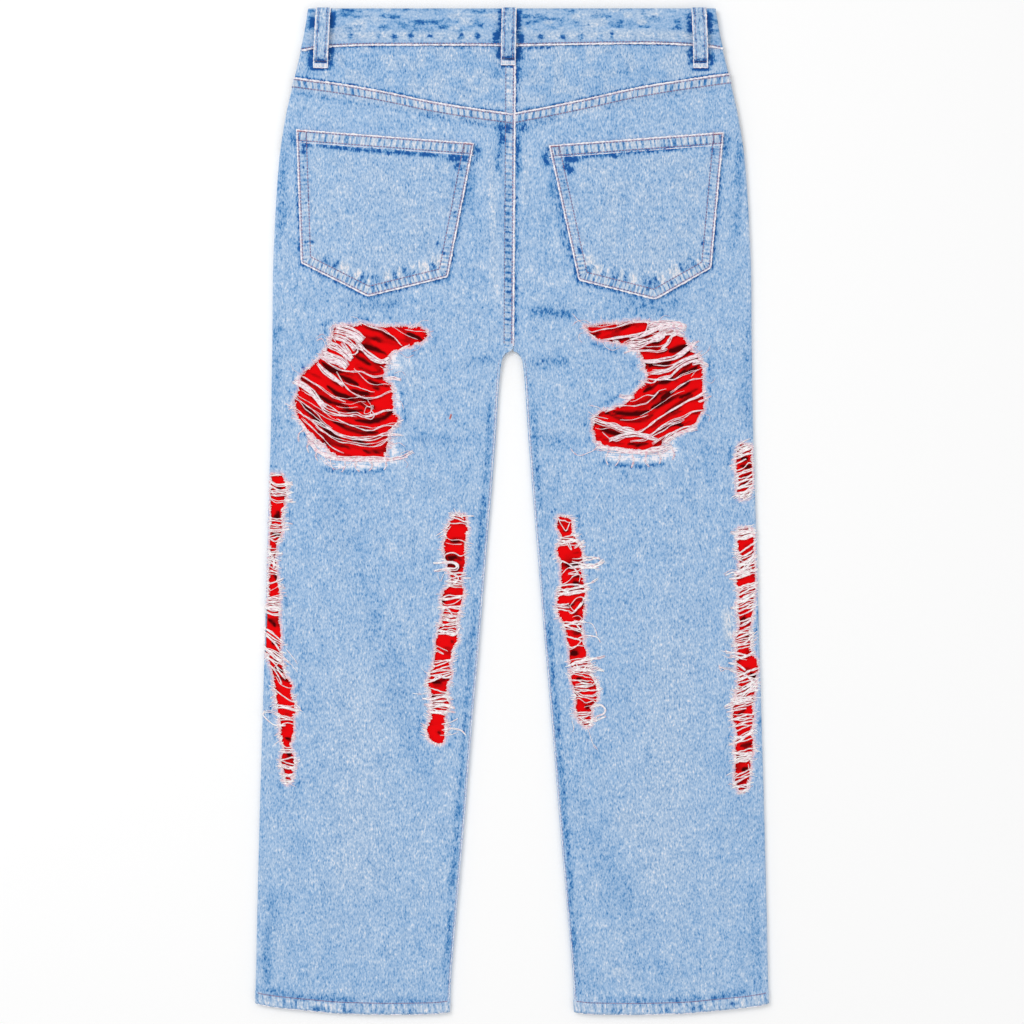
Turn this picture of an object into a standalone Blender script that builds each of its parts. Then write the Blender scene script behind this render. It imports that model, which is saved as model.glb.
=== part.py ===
"""Ripped straight-leg jeans, laid flat on their front with the back upwards.

Metres, +Z up, +Y towards the waist, +X to the wearer's right. The origin is the centre of the
garment's footprint on the surface it lies on. Places on the garment are given as `across` (metres
from the middle) and `down` (metres below the top edge of the waistband).

Each panel is one sheet of cloth: a grid that is shaped over the laid garment and then given its
wall by a Solidify modifier. The rips are cut through the back panels, and red cloth backs them.
"""

import math
from collections import namedtuple

import bmesh
import bpy

# ---------------------------------------------------------------- driving sizes
LENGTH = 1.006  # top of the waistband to the lowest point of the hems
DENIM = 0.0012  # wall of one layer of denim
BAND_WALL = 0.0024  # the waistband, folded double
HEM_WALL = 0.0017  # the turned hem at the ankle
BACKING = 0.0010  # the red cloth behind the rips
SEAM_GAP = 0.0003  # between pieces that are sewn together
PLY_GAP = 0.0003  # between layers that lie on each other
BAND_RISE = 0.0010  # how far the waistband stands over the cloth sewn into it
FELL_RISE = 0.0008  # how far a felled seam stands over the panel
FELL_WIDTH = 0.0105  # width of a felled seam
STEP = 0.0008  # length of the small slope where a raised seam ends
HEM_DEPTH = 0.0095  # height of the turned hem
HEM_STEP = 0.0020  # and of the slope above it, inside

Station = namedtuple("Station", "down outer inner")
# Half widths of the laid garment. Inner is half the gap between the legs.
OUTLINE = [
    Station(0.000, 0.2025, 0.0000),
    Station(0.012, 0.2042, 0.0000),
    Station(0.036, 0.2090, 0.0000),
    Station(0.072, 0.2175, 0.0000),
    Station(0.112, 0.2265, 0.0000),
    Station(0.152, 0.2325, 0.0000),
    Station(0.212, 0.2367, 0.0000),
    Station(0.272, 0.2390, 0.0000),
    Station(0.342, 0.2396, 0.0000),
    Station(0.346, 0.2397, 0.0070),
    Station(0.352, 0.2398, 0.0100),
    Station(0.364, 0.2400, 0.0118),
    Station(0.422, 0.2410, 0.0158),
    Station(0.482, 0.2428, 0.0203),
    Station(0.542, 0.2446, 0.0253),
    Station(0.632, 0.2470, 0.0326),
    Station(0.722, 0.2497, 0.0403),
    Station(0.812, 0.2523, 0.0475),
    Station(0.902, 0.2545, 0.0552),
    Station(0.972, 0.2560, 0.0610),
    Station(1.006, 0.2568, 0.0625),
]
CROTCH = 0.342
CROTCH_TURN = 0.055  # below the crotch the inner edge turns down to its seam within this length

Height = namedtuple("Height", "down top bottom")
# The laid thickness: outer face of the back, and outer face of the front under it. The front is
# held up near the waist by its belt loops and its button.
HEIGHTS = [
    Height(0.000, 0.0070, 0.0028),
    Height(0.060, 0.0070, 0.0027),
    Height(0.100, 0.0067, 0.0021),
    Height(0.150, 0.0064, 0.0011),
    Height(0.200, 0.0062, 0.0003),
    Height(0.240, 0.0061, 0.0000),
    Height(0.340, 0.0060, 0.0000),
    Height(0.450, 0.0056, 0.0000),
    Height(0.600, 0.0053, 0.0000),
    Height(0.900, 0.0053, 0.0000),
    Height(1.006, 0.0056, 0.0000),
]

FoldRow = namedtuple("FoldRow", "down across depth")
# The long slanting fold in the back of each leg: a soft trough that one column of points follows.
FOLDS = {
    "left": [
        FoldRow(0.070, -0.150, 0.0000),
        FoldRow(0.400, -0.176, 0.0000),
        FoldRow(0.470, -0.188, 0.0004),
        FoldRow(0.530, -0.167, 0.0011),
        FoldRow(0.610, -0.137, 0.0012),
        FoldRow(0.690, -0.112, 0.0009),
        FoldRow(0.750, -0.100, 0.0000),
        FoldRow(1.006, -0.150, 0.0000),
    ],
    "right": [
        FoldRow(0.070, 0.120, 0.0000),
        FoldRow(0.500, 0.125, 0.0000),
        FoldRow(0.780, 0.086, 0.0003),
        FoldRow(0.850, 0.098, 0.0011),
        FoldRow(0.920, 0.133, 0.0008),
        FoldRow(1.006, 0.160, 0.0000),
    ],
}
FOLD_REACH = 0.013  # from the trough to the level cloth on each side
SEAM_SPREAD = 0.0012  # columns beside a level seam are this far apart

SeamPoint = namedtuple("SeamPoint", "across left right")
# The yoke seam's upper edge on each side, and the lower edge of the back waistband.
YOKE_SEAM = [
    SeamPoint(0.000, 0.1065, 0.1065),
    SeamPoint(0.040, 0.1010, 0.0988),
    SeamPoint(0.085, 0.0935, 0.0893),
    SeamPoint(0.120, 0.0860, 0.0815),
    SeamPoint(0.165, 0.0778, 0.0738),
    SeamPoint(0.217, 0.0706, 0.0664),
]
BAND_LOW = [
    SeamPoint(0.000, 0.0375, 0.0375),
    SeamPoint(0.060, 0.0362, 0.0355),
    SeamPoint(0.130, 0.0362, 0.0345),
    SeamPoint(0.185, 0.0385, 0.0375),
    SeamPoint(0.210, 0.0435, 0.0415),
]
HEM_LOW = [  # lower edge of the hem, across counted outwards from the middle of the garment
    SeamPoint(0.062, 1.0035, 1.0035),
    SeamPoint(0.080, 1.0055, 1.0055),
    SeamPoint(0.120, 1.0060, 1.0060),
    SeamPoint(0.169, 1.0050, 1.0050),
    SeamPoint(0.202, 1.0022, 1.0022),
    SeamPoint(0.230, 0.9995, 0.9995),
    SeamPoint(0.250, 0.9965, 0.9965),
    SeamPoint(0.257, 0.9945, 0.9945),
]
CENTRE_SEAM_TOP = 0.0030  # where the centre back seam lies, across
CENTRE_SEAM_CROTCH = 0.0005
TOP_BLEND = 0.120  # rows below a slanting top edge come level within this length
HEM_BLEND = 0.050

FRONT_TOP_SIDE = 0.0015  # top edge of the front waistband at the side
FRONT_DIP = 0.0430  # and how much lower it is at the centre front
BAND_HEIGHT = 0.0380
BAND_TURN = 0.0030  # extra height of the slanting band at the side
FLY_EDGE = 0.0180  # the left end of the front band passes the middle by this
FLY_SEAM = 0.0040  # across of the fly's edge
FLY_SEAM_RUN = 0.0600  # over this length it comes back to the middle, above the crotch
FLY_SHIELD_WIDTH = 0.0380
FLY_SHIELD_LENGTH = 0.1500
FLY_SHIELD_WALL = 0.0010
FRONT_BAND_RISE = 0.0008  # how far the front band stands over the cloth sewn into it
FOLDED_WALL = 0.0009  # the waistband's wall where it turns round the side
FACING_WALL = 0.0009
FACING_HIDDEN = 0.0110  # of the pocket facing, under the edge of the opening
SCOOP_CENTRE = (0.222, 0.048)  # of the round front pocket opening, across and down
SCOOP_RADII = (0.104, 0.096)

Corner = namedtuple("Corner", "across down")
POCKETS = {  # top outer, top inner, bottom inner, tip and bottom outer corners
    "left": [
        Corner(-0.2149, 0.1227),
        Corner(-0.0384, 0.1361),
        Corner(-0.0649, 0.2691),
        Corner(-0.1443, 0.2879),
        Corner(-0.2104, 0.2549),
    ],
    "right": [
        Corner(0.2109, 0.1254),
        Corner(0.0371, 0.1384),
        Corner(0.0675, 0.2709),
        Corner(0.1425, 0.2906),
        Corner(0.1987, 0.2584),
    ],
}
POCKET_HEM = 0.0115
POCKET_HEM_RISE = 0.0007

Loop = namedtuple("Loop", "name top_across low_across length")
BACK_LOOPS = [
    Loop("belt_loop_back_left", -0.1890, -0.1922, 0.0600),
    Loop("belt_loop_back_centre", -0.0033, -0.0043, 0.0570),
    Loop("belt_loop_back_right", 0.1874, 0.1895, 0.0600),
]
FRONT_LOOPS = [
    Loop("belt_loop_front_left", -0.1000, -0.1030, 0.0560),
    Loop("belt_loop_front_right", 0.1000, 0.1030, 0.0560),
]
LOOP_WIDTH = 0.0143
LOOP_WALL = 0.0015
LOOP_STAND = 0.0046  # how far a back loop bows out, for a belt
LOOP_DOWN = 0.0005  # the loops start this far below the top edge
LOOP_CLEAR = 0.0040  # a loop comes down to the cloth this far below the waistband
BUTTON_RADIUS = 0.0085
BUTTON_HEAD = 0.0017

RipRow = namedtuple("RipRow", "down left right")
# Each rip is the hole through the denim, with its two edges at a few heights.
RIPS = {
    "thigh_left": [
        RipRow(0.316, -0.166, -0.146),
        RipRow(0.320, -0.171, -0.086),
        RipRow(0.332, -0.179, -0.089),
        RipRow(0.340, -0.184, -0.106),
        RipRow(0.348, -0.190, -0.120),
        RipRow(0.357, -0.197, -0.126),
        RipRow(0.371, -0.209, -0.120),
        RipRow(0.385, -0.218, -0.119),
        RipRow(0.397, -0.214, -0.119),
        RipRow(0.413, -0.211, -0.115),
        RipRow(0.424, -0.205, -0.121),
        RipRow(0.432, -0.1975, -0.123),
        RipRow(0.449, -0.175, -0.125),
    ],
    "thigh_right": [
        RipRow(0.313, 0.108, 0.140),
        RipRow(0.317, 0.075, 0.170),
        RipRow(0.328, 0.080, 0.175),
        RipRow(0.335, 0.114, 0.178),
        RipRow(0.343, 0.126, 0.184),
        RipRow(0.359, 0.133, 0.194),
        RipRow(0.367, 0.136, 0.191),
        RipRow(0.377, 0.130, 0.190),
        RipRow(0.394, 0.112, 0.192),
        RipRow(0.404, 0.096, 0.190),
        RipRow(0.412, 0.082, 0.188),
        RipRow(0.420, 0.087, 0.184),
        RipRow(0.435, 0.084, 0.161),
        RipRow(0.446, 0.112, 0.134),
    ],
    "inner_left": [
        RipRow(0.508, -0.059, -0.047),
        RipRow(0.520, -0.066, -0.044),
        RipRow(0.555, -0.067, -0.047),
        RipRow(0.575, -0.066, -0.050),
        RipRow(0.600, -0.071, -0.051),
        RipRow(0.635, -0.074, -0.055),
        RipRow(0.665, -0.083, -0.062),
        RipRow(0.700, -0.083, -0.067),
        RipRow(0.722, -0.086, -0.068),
        RipRow(0.734, -0.080, -0.072),
    ],
    "inner_right": [
        RipRow(0.515, 0.047, 0.058),
        RipRow(0.540, 0.047, 0.069),
        RipRow(0.575, 0.049, 0.072),
        RipRow(0.605, 0.050, 0.072),
        RipRow(0.630, 0.056, 0.073),
        RipRow(0.655, 0.059, 0.077),
        RipRow(0.680, 0.064, 0.083),
        RipRow(0.700, 0.063, 0.081),
        RipRow(0.714, 0.068, 0.078),
    ],
    "outer_left": [
        RipRow(0.474, -0.2385, -0.226),
        RipRow(0.500, -0.2390, -0.226),
        RipRow(0.530, -0.2395, -0.229),
        RipRow(0.560, -0.2410, -0.234),
        RipRow(0.590, -0.2420, -0.232),
        RipRow(0.604, -0.2520, -0.231),
        RipRow(0.640, -0.2530, -0.229),
        RipRow(0.654, -0.2420, -0.226),
        RipRow(0.680, -0.2380, -0.216),
        RipRow(0.705, -0.2340, -0.215),
        RipRow(0.735, -0.2310, -0.218),
        RipRow(0.774, -0.2280, -0.221),
    ],
    "outer_right_upper": [
        RipRow(0.440, 0.225, 0.2385),
        RipRow(0.455, 0.223, 0.2390),
        RipRow(0.470, 0.227, 0.2395),
        RipRow(0.488, 0.226, 0.2360),
    ],
    "outer_right": [
        RipRow(0.524, 0.226, 0.2410),
        RipRow(0.550, 0.226, 0.2420),
        RipRow(0.580, 0.225, 0.2415),
        RipRow(0.610, 0.228, 0.2390),
        RipRow(0.640, 0.226, 0.2430),
        RipRow(0.660, 0.230, 0.2450),
        RipRow(0.685, 0.223, 0.2420),
        RipRow(0.710, 0.221, 0.2420),
        RipRow(0.740, 0.222, 0.2400),
        RipRow(0.778, 0.222, 0.2360),
    ],
}

Patch = namedtuple("Patch", "name rips side_margin end_margin")
PATCHES = [
    Patch("backing_thigh_left", ["thigh_left"], 0.012, 0.010),
    Patch("backing_thigh_right", ["thigh_right"], 0.012, 0.010),
    Patch("backing_inner_left", ["inner_left"], 0.011, 0.012),
    Patch("backing_inner_right", ["inner_right"], 0.011, 0.012),
    Patch("backing_outer_left", ["outer_left"], 0.012, 0.010),
    Patch("backing_outer_right", ["outer_right_upper", "outer_right"], 0.012, 0.010),
]

# Rows of points down the back and the front panels, above the hem.
BACK_STATIONS = [0.088, 0.150, 0.220, 0.300, 0.3415, 0.346, 0.352, 0.364, 0.380, 0.395]
BACK_STATIONS += [0.425 + 0.0545 * step for step in range(10)]
FRONT_STATIONS = [0.070, 0.115, 0.160, 0.250, 0.3415, 0.346, 0.352, 0.364, 0.380, 0.395]
FRONT_STATIONS += [0.470 + 0.090 * step for step in range(6)]
SIDES = {"left": -1, "right": 1}

Turn = namedtuple("Turn", "lip angle")
SIDE_LIP = 0.0005  # a side fold stands straight for this far, next to its seam
# Round a side fold, from the seam to the flat: how much of the lip, and degrees of turn.
TURNS = [Turn(0, 0), Turn(1, 0), Turn(1, 45), Turn(1, 90)]
COLOURS = {
    "denim": (0.33, 0.48, 0.69, 1.0),
    "denim_band": (0.31, 0.45, 0.66, 1.0),
    "red_cloth": (0.62, 0.008, 0.010, 1.0),
    "button_metal": (0.42, 0.33, 0.22, 1.0),
}


# ---------------------------------------------------------------- reading the tables
def smooth(t):
    t = min(1.0, max(0.0, t))
    return t * t * (3 - 2 * t)


def read(table, column, at):
    """The column's value at a place between rows, on straight runs eased by the rows' slopes."""
    keys = [row[0] for row in table]
    values = [getattr(row, column) for row in table]
    if at <= keys[0]:
        return values[0]
    if at >= keys[-1]:
        return values[-1]
    i = max(k for k in range(len(keys) - 1) if keys[k] <= at)
    span = keys[i + 1] - keys[i]
    rise = (values[i + 1] - values[i]) / span
    slopes = []
    for k in (i, i + 1):
        if 0 < k < len(keys) - 1:
            before = (values[k] - values[k - 1]) / (keys[k] - keys[k - 1])
            after = (values[k + 1] - values[k]) / (keys[k + 1] - keys[k])
            turn = before * after
            slopes.append(2 * turn / (before + after) if turn > 0 else 0.0)
        else:
            slopes.append(rise)
    t = (at - keys[i]) / span
    return (
        values[i] * (1 + 2 * t) * (1 - t) ** 2
        + values[i + 1] * t * t * (3 - 2 * t)
        + slopes[0] * span * t * (1 - t) ** 2
        - slopes[1] * span * t * t * (1 - t)
    )


def world(across, down, height):
    return (across, LENGTH / 2 - down, height)


def outer_edge(down):
    return read(OUTLINE, "outer", down)


def centre_seam(down):
    t = min(1.0, down / CROTCH)
    return CENTRE_SEAM_TOP + (CENTRE_SEAM_CROTCH - CENTRE_SEAM_TOP) * t


def half_height(down):
    return (read(HEIGHTS, "top", down) - read(HEIGHTS, "bottom", down)) / 2


def middle_height(down):
    return (read(HEIGHTS, "top", down) + read(HEIGHTS, "bottom", down)) / 2


def laid_bottom(down):
    return read(HEIGHTS, "bottom", down)


def laid_top(across, down):
    """Height of the back's outer face, with the long fold of that leg."""
    fold = FOLDS["left" if across < 0 else "right"]
    beside = (across - read(fold, "across", down)) / FOLD_REACH
    depth = read(fold, "depth", down) * max(0.0, 1 - abs(beside))
    return read(HEIGHTS, "top", down) - depth


def seam_line(table, across):
    return read(table, "left" if across < 0 else "right", abs(across))


def front_band_top(across):
    share = min(1.0, abs(across) / outer_edge(0.02))
    return FRONT_TOP_SIDE + FRONT_DIP * (1 - share * share)


def front_band_low(across):
    share = min(1.0, abs(across) / outer_edge(0.02))
    return front_band_top(across) + BAND_HEIGHT + BAND_TURN * share**4


# ---------------------------------------------------------------- making sheets
def material(kind):
    made = bpy.data.materials.get(kind) or bpy.data.materials.new(kind)
    made.use_nodes = True
    shader = made.node_tree.nodes["Principled BSDF"]
    shader.inputs["Base Color"].default_value = COLOURS[kind]
    shader.inputs["Roughness"].default_value = 0.35 if kind == "button_metal" else 0.9
    shader.inputs["Metallic"].default_value = 1.0 if kind == "button_metal" else 0.0
    return made


def add_object(name, mesh, kind):
    made = bpy.data.objects.new(name, mesh)
    made.data.materials.append(material(kind))
    bpy.context.scene.collection.objects.link(made)
    return made


def cloth_sheet(name, columns, rows, place, wall, kind, wall_share=None, face_up=True):
    """A grid of columns by rows, each point put by place(column, row), with a wall inwards."""
    shape = bmesh.new()
    bmesh.ops.create_grid(shape, x_segments=columns - 1, y_segments=rows - 1, size=1.0)
    mesh = bpy.data.meshes.new(name)
    at = {}
    for vertex in shape.verts:
        column = round((vertex.co.x + 1) / 2 * (columns - 1))
        row = round((1 - vertex.co.y) / 2 * (rows - 1))
        at[vertex.index] = (column, row)
        vertex.co = place(column, row)
    bmesh.ops.recalc_face_normals(shape, faces=shape.faces)
    if (sum(face.normal.z for face in shape.faces) > 0) != face_up:
        bmesh.ops.reverse_faces(shape, faces=shape.faces)
    shape.to_mesh(mesh)
    shape.free()
    mesh.shade_smooth()
    made = add_object(name, mesh, kind)
    solid = made.modifiers.new("wall", "SOLIDIFY")
    solid.thickness = wall
    solid.offset = -1.0
    solid.use_even_offset = True
    if wall_share:
        group = made.vertex_groups.new(name="wall")
        for index, (column, row) in at.items():
            group.add([index], wall_share(column, row), "REPLACE")
        solid.vertex_group = "wall"
    return made


def cut(target, cutter):
    """Takes the cutter's shape out of the target."""
    hole = target.modifiers.new("cut_" + cutter.name, "BOOLEAN")
    hole.operation = "DIFFERENCE"
    hole.object = cutter
    hole.solver = "EXACT"


def prisms(name, outlines, low=-0.005, high=0.020):
    """A helper with upright outlines of (across, down) places, used only to cut."""
    shape = bmesh.new()
    faces = []
    for outline in outlines:
        rim = [shape.verts.new(world(across, down, low)) for across, down in outline]
        faces.append(shape.faces.new(rim))
    grown = bmesh.ops.extrude_face_region(shape, geom=faces)
    raised = [item for item in grown["geom"] if isinstance(item, bmesh.types.BMVert)]
    bmesh.ops.translate(shape, verts=raised, vec=(0, 0, high - low))
    bmesh.ops.recalc_face_normals(shape, faces=shape.faces)
    mesh = bpy.data.meshes.new(name)
    shape.to_mesh(mesh)
    shape.free()
    made = bpy.data.objects.new(name, mesh)
    made.display_type = "WIRE"
    made.hide_render = True
    bpy.context.scene.collection.objects.link(made)
    return made


def rip_outline(rows):
    return [(row.left, row.down) for row in rows] + [(row.right, row.down) for row in reversed(rows)]


def side_fold(turn, radius, inset=0.0):
    """How far in from its edge, and how far from mid-height, a point on a side fold lies."""
    round_part = radius - SEAM_GAP / 2 - SIDE_LIP - inset
    angle = math.radians(turn.angle)
    reach = inset + (radius - inset) * (1 - math.cos(angle))
    return reach, SEAM_GAP / 2 + SIDE_LIP * turn.lip + round_part * math.sin(angle)


# ---------------------------------------------------------------- the columns that pieces share
Column = namedtuple("Column", "start end share turn edge")


def fold_columns(edge):
    return [Column(edge, edge, 0.0, turn, edge) for turn in TURNS]


def flat_column(start, end=None, share=0.0):
    return Column(start, end or start, share, None, None)


# From the centre seam or inseam out to the side seam, for the band, the yoke and the back panel.
BACK_COLUMNS = (
    fold_columns("inner")
    + [flat_column("fell"), flat_column("fell_foot")]
    + [flat_column("fell_foot", "fold_in", share) for share in (0.3, 0.65)]
    + [flat_column("fold_in"), flat_column("fold"), flat_column("fold_out")]
    + [flat_column("fold_out", "flat_edge", 0.5)]
    + fold_columns("outer")[::-1]
)
# And for the front panel and its band.
FRONT_COLUMNS = (
    fold_columns("inner")
    + [flat_column("inner_flat", "flat_edge", share) for share in (0.12, 0.30, 0.48, 0.66, 0.84)]
    + fold_columns("outer")[::-1]
)


def guides(side, down, inner):
    """The lines that columns follow, as places across at this distance down."""
    radius = half_height(down)
    outer = side * outer_edge(down)
    lines = {
        "inner": inner,
        "inner_flat": inner + side * radius,
        "fell": inner + side * FELL_WIDTH,
        "fell_foot": inner + side * (FELL_WIDTH + STEP),
        "flat_edge": outer - side * radius,
        "outer": outer,
    }
    fold = read(FOLDS["left" if side < 0 else "right"], "across", down)
    lines.update(fold_in=fold - side * FOLD_REACH, fold=fold, fold_out=fold + side * FOLD_REACH)
    return lines


def turned_down(column, down):
    """1 where a column is turned down to its seam, and 0 where it stays level."""
    if not column.turn:
        return 0.0
    if column.edge == "outer":
        return 1.0
    return smooth((down - CROTCH) / CROTCH_TURN)


def column_place(side, column, down, inner):
    """Across of a column, and how far its point lies from mid-height if it is on a fold."""
    lines = guides(side, down, inner)
    across = lines[column.start] + (lines[column.end] - lines[column.start]) * column.share
    if not column.turn:
        return across, None
    reach, rise = side_fold(column.turn, half_height(down))
    if column.edge == "outer":
        return across - side * reach, rise
    level_reach = SEAM_SPREAD * TURNS.index(column.turn)
    return across + side * (level_reach + (reach - level_reach) * turned_down(column, down)), rise


def back_inner(side, down):
    """The back's inner edge: the centre seam above the crotch, the inseam below it."""
    if down <= CROTCH:
        return centre_seam(down) + side * SEAM_GAP / 2
    return side * max(read(OUTLINE, "inner", down), SEAM_GAP)


def front_inner(side, down):
    """The front's: the fly and its seam, then the inseam."""
    if down <= CROTCH:
        return FLY_SEAM * min(1.0, (CROTCH - down) / FLY_SEAM_RUN) + side * SEAM_GAP / 2
    return side * max(read(OUTLINE, "inner", down), SEAM_GAP)


def back_height(side, column, down, across, rise):
    level = laid_top(across, down)
    turn = turned_down(column, down)
    if not turn:
        return level
    return level + (middle_height(down) + rise - level) * turn


def front_height(column, down, rise):
    level = laid_bottom(down)
    turn = turned_down(column, down)
    if not turn:
        return level
    return level + (middle_height(down) - rise - level) * turn


def fade_at_side(column):
    """Raised seams flatten out where the cloth turns down at the side."""
    if column.edge != "outer":
        return 1.0
    return math.sin(math.radians(column.turn.angle))


# ---------------------------------------------------------------- panels of the legs and seat
def settled_column(side, column, inner_line, row_line):
    """Across, down and fold rise of a column on a slanting row: each depends on the other."""
    down = row_line(side * 0.1)
    for _ in range(5):
        across, rise = column_place(side, column, down, inner_line(side, down))
        down = row_line(across)
    return across, down, rise


def back_top(across):
    return seam_line(YOKE_SEAM, across) + SEAM_GAP / 2


def front_top(across):
    return front_band_low(across) + SEAM_GAP / 2


def eased_down(nominal, start, across, top_line):
    """A row's real place: it follows the slanting top edge at first, and the hem at the end."""
    top = top_line(across) - start
    hem = seam_line(HEM_LOW, across) - LENGTH
    return (
        nominal
        + top * (1 - smooth((nominal - start) / TOP_BLEND))
        + hem * smooth(1 - (LENGTH - nominal) / HEM_BLEND)
    )


def hem_rows():
    return [LENGTH - HEM_DEPTH - HEM_STEP, LENGTH - HEM_DEPTH, LENGTH]


def panel_wall(column, down, in_hem):
    """The wall as a share of the hem's: thin where the crotch turns down, full in the hem."""
    if in_hem:
        return 1.0
    turning = column.edge == "inner" and CROTCH < down < CROTCH + CROTCH_TURN
    return (FOLDED_WALL / 2 if turning else DENIM) / HEM_WALL


def build_back_panel(side, name):
    start = BACK_STATIONS[0]
    stations = [start, start + FELL_WIDTH, start + FELL_WIDTH + STEP] + BACK_STATIONS[1:] + hem_rows()
    rows = len(stations)

    def place(index, row):
        column = BACK_COLUMNS[index]

        def row_line(across):
            return eased_down(stations[row], start, across, back_top)

        across, down, rise = settled_column(side, column, back_inner, row_line)
        height = back_height(side, column, down, across, rise)
        on_centre_fell = side < 0 and index <= len(TURNS) and down < CROTCH
        if row < 2 or on_centre_fell:
            height += FELL_RISE * fade_at_side(column)
        return world(across, down, height)

    def wall_share(index, row):
        return panel_wall(BACK_COLUMNS[index], stations[row], row >= rows - 2)

    return cloth_sheet(name, len(BACK_COLUMNS), rows, place, HEM_WALL, "denim", wall_share)


def build_front_panel(side, name):
    stations = FRONT_STATIONS + hem_rows()
    rows = len(stations)

    def place(index, row):
        column = FRONT_COLUMNS[index]

        def row_line(across):
            return eased_down(stations[row], stations[0], across, front_top)

        across, down, rise = settled_column(side, column, front_inner, row_line)
        return world(across, down, front_height(column, down, rise))

    def wall_share(index, row):
        return panel_wall(FRONT_COLUMNS[index], stations[row], row >= rows - 2)

    return cloth_sheet(
        name, len(FRONT_COLUMNS), rows, place, HEM_WALL, "denim", wall_share, face_up=False
    )


def build_back_panels():
    for word, side in SIDES.items():
        panel = build_back_panel(side, "back_panel_" + word)
        outlines = [rip_outline(rows) for name, rows in RIPS.items() if word in name]
        cut(panel, prisms("cutter_rips_" + word, outlines))


def scoop_outline(side):
    steps = 32
    turns = [2 * math.pi * step / steps for step in range(steps)]
    across, down = SCOOP_CENTRE
    return [
        (side * (across + SCOOP_RADII[0] * math.cos(turn)), down + SCOOP_RADII[1] * math.sin(turn))
        for turn in turns
    ]


def build_front_panels():
    for word, side in SIDES.items():
        panel = build_front_panel(side, "front_panel_" + word)
        cut(panel, prisms("cutter_scoop_" + word, [scoop_outline(side)]))


def build_pocket_facings():
    """The denim seen in the round openings of the front pockets, one layer further in."""
    inset = DENIM + PLY_GAP
    near = SCOOP_CENTRE[0] - SCOOP_RADII[0] - FACING_HIDDEN
    low = SCOOP_CENTRE[1] + SCOOP_RADII[1] + FACING_HIDDEN
    columns, rows = 5, 6
    for word, side in SIDES.items():

        def place(index, row, side=side):
            across, down = side * near, 0.05
            for _ in range(5):
                top = front_top(across)
                down = top + (low - top) * row / (rows - 1)
                edge = outer_edge(down) - half_height(down)
                across = side * (near + (edge - near) * index / (columns - 1))
            return world(across, down, laid_bottom(down) + inset)

        name = "pocket_facing_" + word
        cloth_sheet(name, columns, rows, place, FACING_WALL, "denim", face_up=False)


# ---------------------------------------------------------------- yokes, waistband and loops
def build_yokes():
    rows = 3
    for word, side in SIDES.items():

        def place(index, row, side=side):
            column = BACK_COLUMNS[index]

            def row_line(across):
                top = seam_line(BAND_LOW, across) + SEAM_GAP / 2
                low = seam_line(YOKE_SEAM, across) - SEAM_GAP / 2
                return top + (low - top) * row / (rows - 1)

            across, down, rise = settled_column(side, column, back_inner, row_line)
            height = back_height(side, column, down, across, rise)
            if side < 0 and index <= len(TURNS):
                height += FELL_RISE
            return world(across, down, height)

        cloth_sheet("yoke_" + word, len(BACK_COLUMNS), rows, place, DENIM, "denim")


def build_back_band():
    rows = 3
    half = len(BACK_COLUMNS)

    def column_at(index):
        side = -1 if index < half else 1
        return side, BACK_COLUMNS[half - 1 - index if side < 0 else index - half]

    def place(index, row):
        side, column = column_at(index)

        def row_line(across):
            return (seam_line(BAND_LOW, across) - SEAM_GAP) * row / (rows - 1)

        across, down, rise = settled_column(side, column, back_inner, row_line)
        height = back_height(side, column, down, across, rise)
        return world(across, down, height + BAND_RISE * fade_at_side(column))

    def wall_share(index, row):
        return FOLDED_WALL / BAND_WALL if column_at(index)[1].edge == "outer" else 1.0

    cloth_sheet("waistband_back", 2 * half, rows, place, BAND_WALL, "denim_band", wall_share)


def build_front_bands():
    """The front of the waistband, in the two halves that the button joins."""
    rows = 3
    outer_part = FRONT_COLUMNS[::-1][: -len(TURNS)]
    ends = {"left": [0.0, FLY_EDGE], "right": [FLY_EDGE + SEAM_GAP]}
    for word, side in SIDES.items():
        columns = len(outer_part) + len(ends[word])

        def place(index, row, side=side, inner_ends=ends[word]):
            def row_line(across):
                top = front_band_top(across)
                return top + (front_band_low(across) - SEAM_GAP / 2 - top) * row / (rows - 1)

            if index >= len(outer_part):
                across = inner_ends[index - len(outer_part)]
                down = row_line(across)
                return world(across, down, laid_bottom(down) - FRONT_BAND_RISE)
            column = outer_part[index]
            across, down, rise = settled_column(side, column, front_inner, row_line)
            height = front_height(column, down, rise)
            return world(across, down, height - FRONT_BAND_RISE * fade_at_side(column))

        def wall_share(index, row):
            folded = index < len(TURNS)
            return FOLDED_WALL / BAND_WALL if folded else 1.0

        name = "waistband_front_" + word
        cloth_sheet(name, columns, rows, place, BAND_WALL, "denim_band", wall_share, face_up=False)


LoopRow = namedtuple("LoopRow", "share bow")
# Down a back loop: a share of its length, and how much it bows out there.
LOOP_ROWS = [
    LoopRow(0.00, 0.00),
    LoopRow(0.08, 0.00),
    LoopRow(0.14, 0.72),
    LoopRow(0.20, 1.00),
    LoopRow(0.78, 1.00),
    LoopRow(0.84, 0.72),
    LoopRow(0.90, 0.00),
    LoopRow(1.00, 0.00),
]


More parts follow.
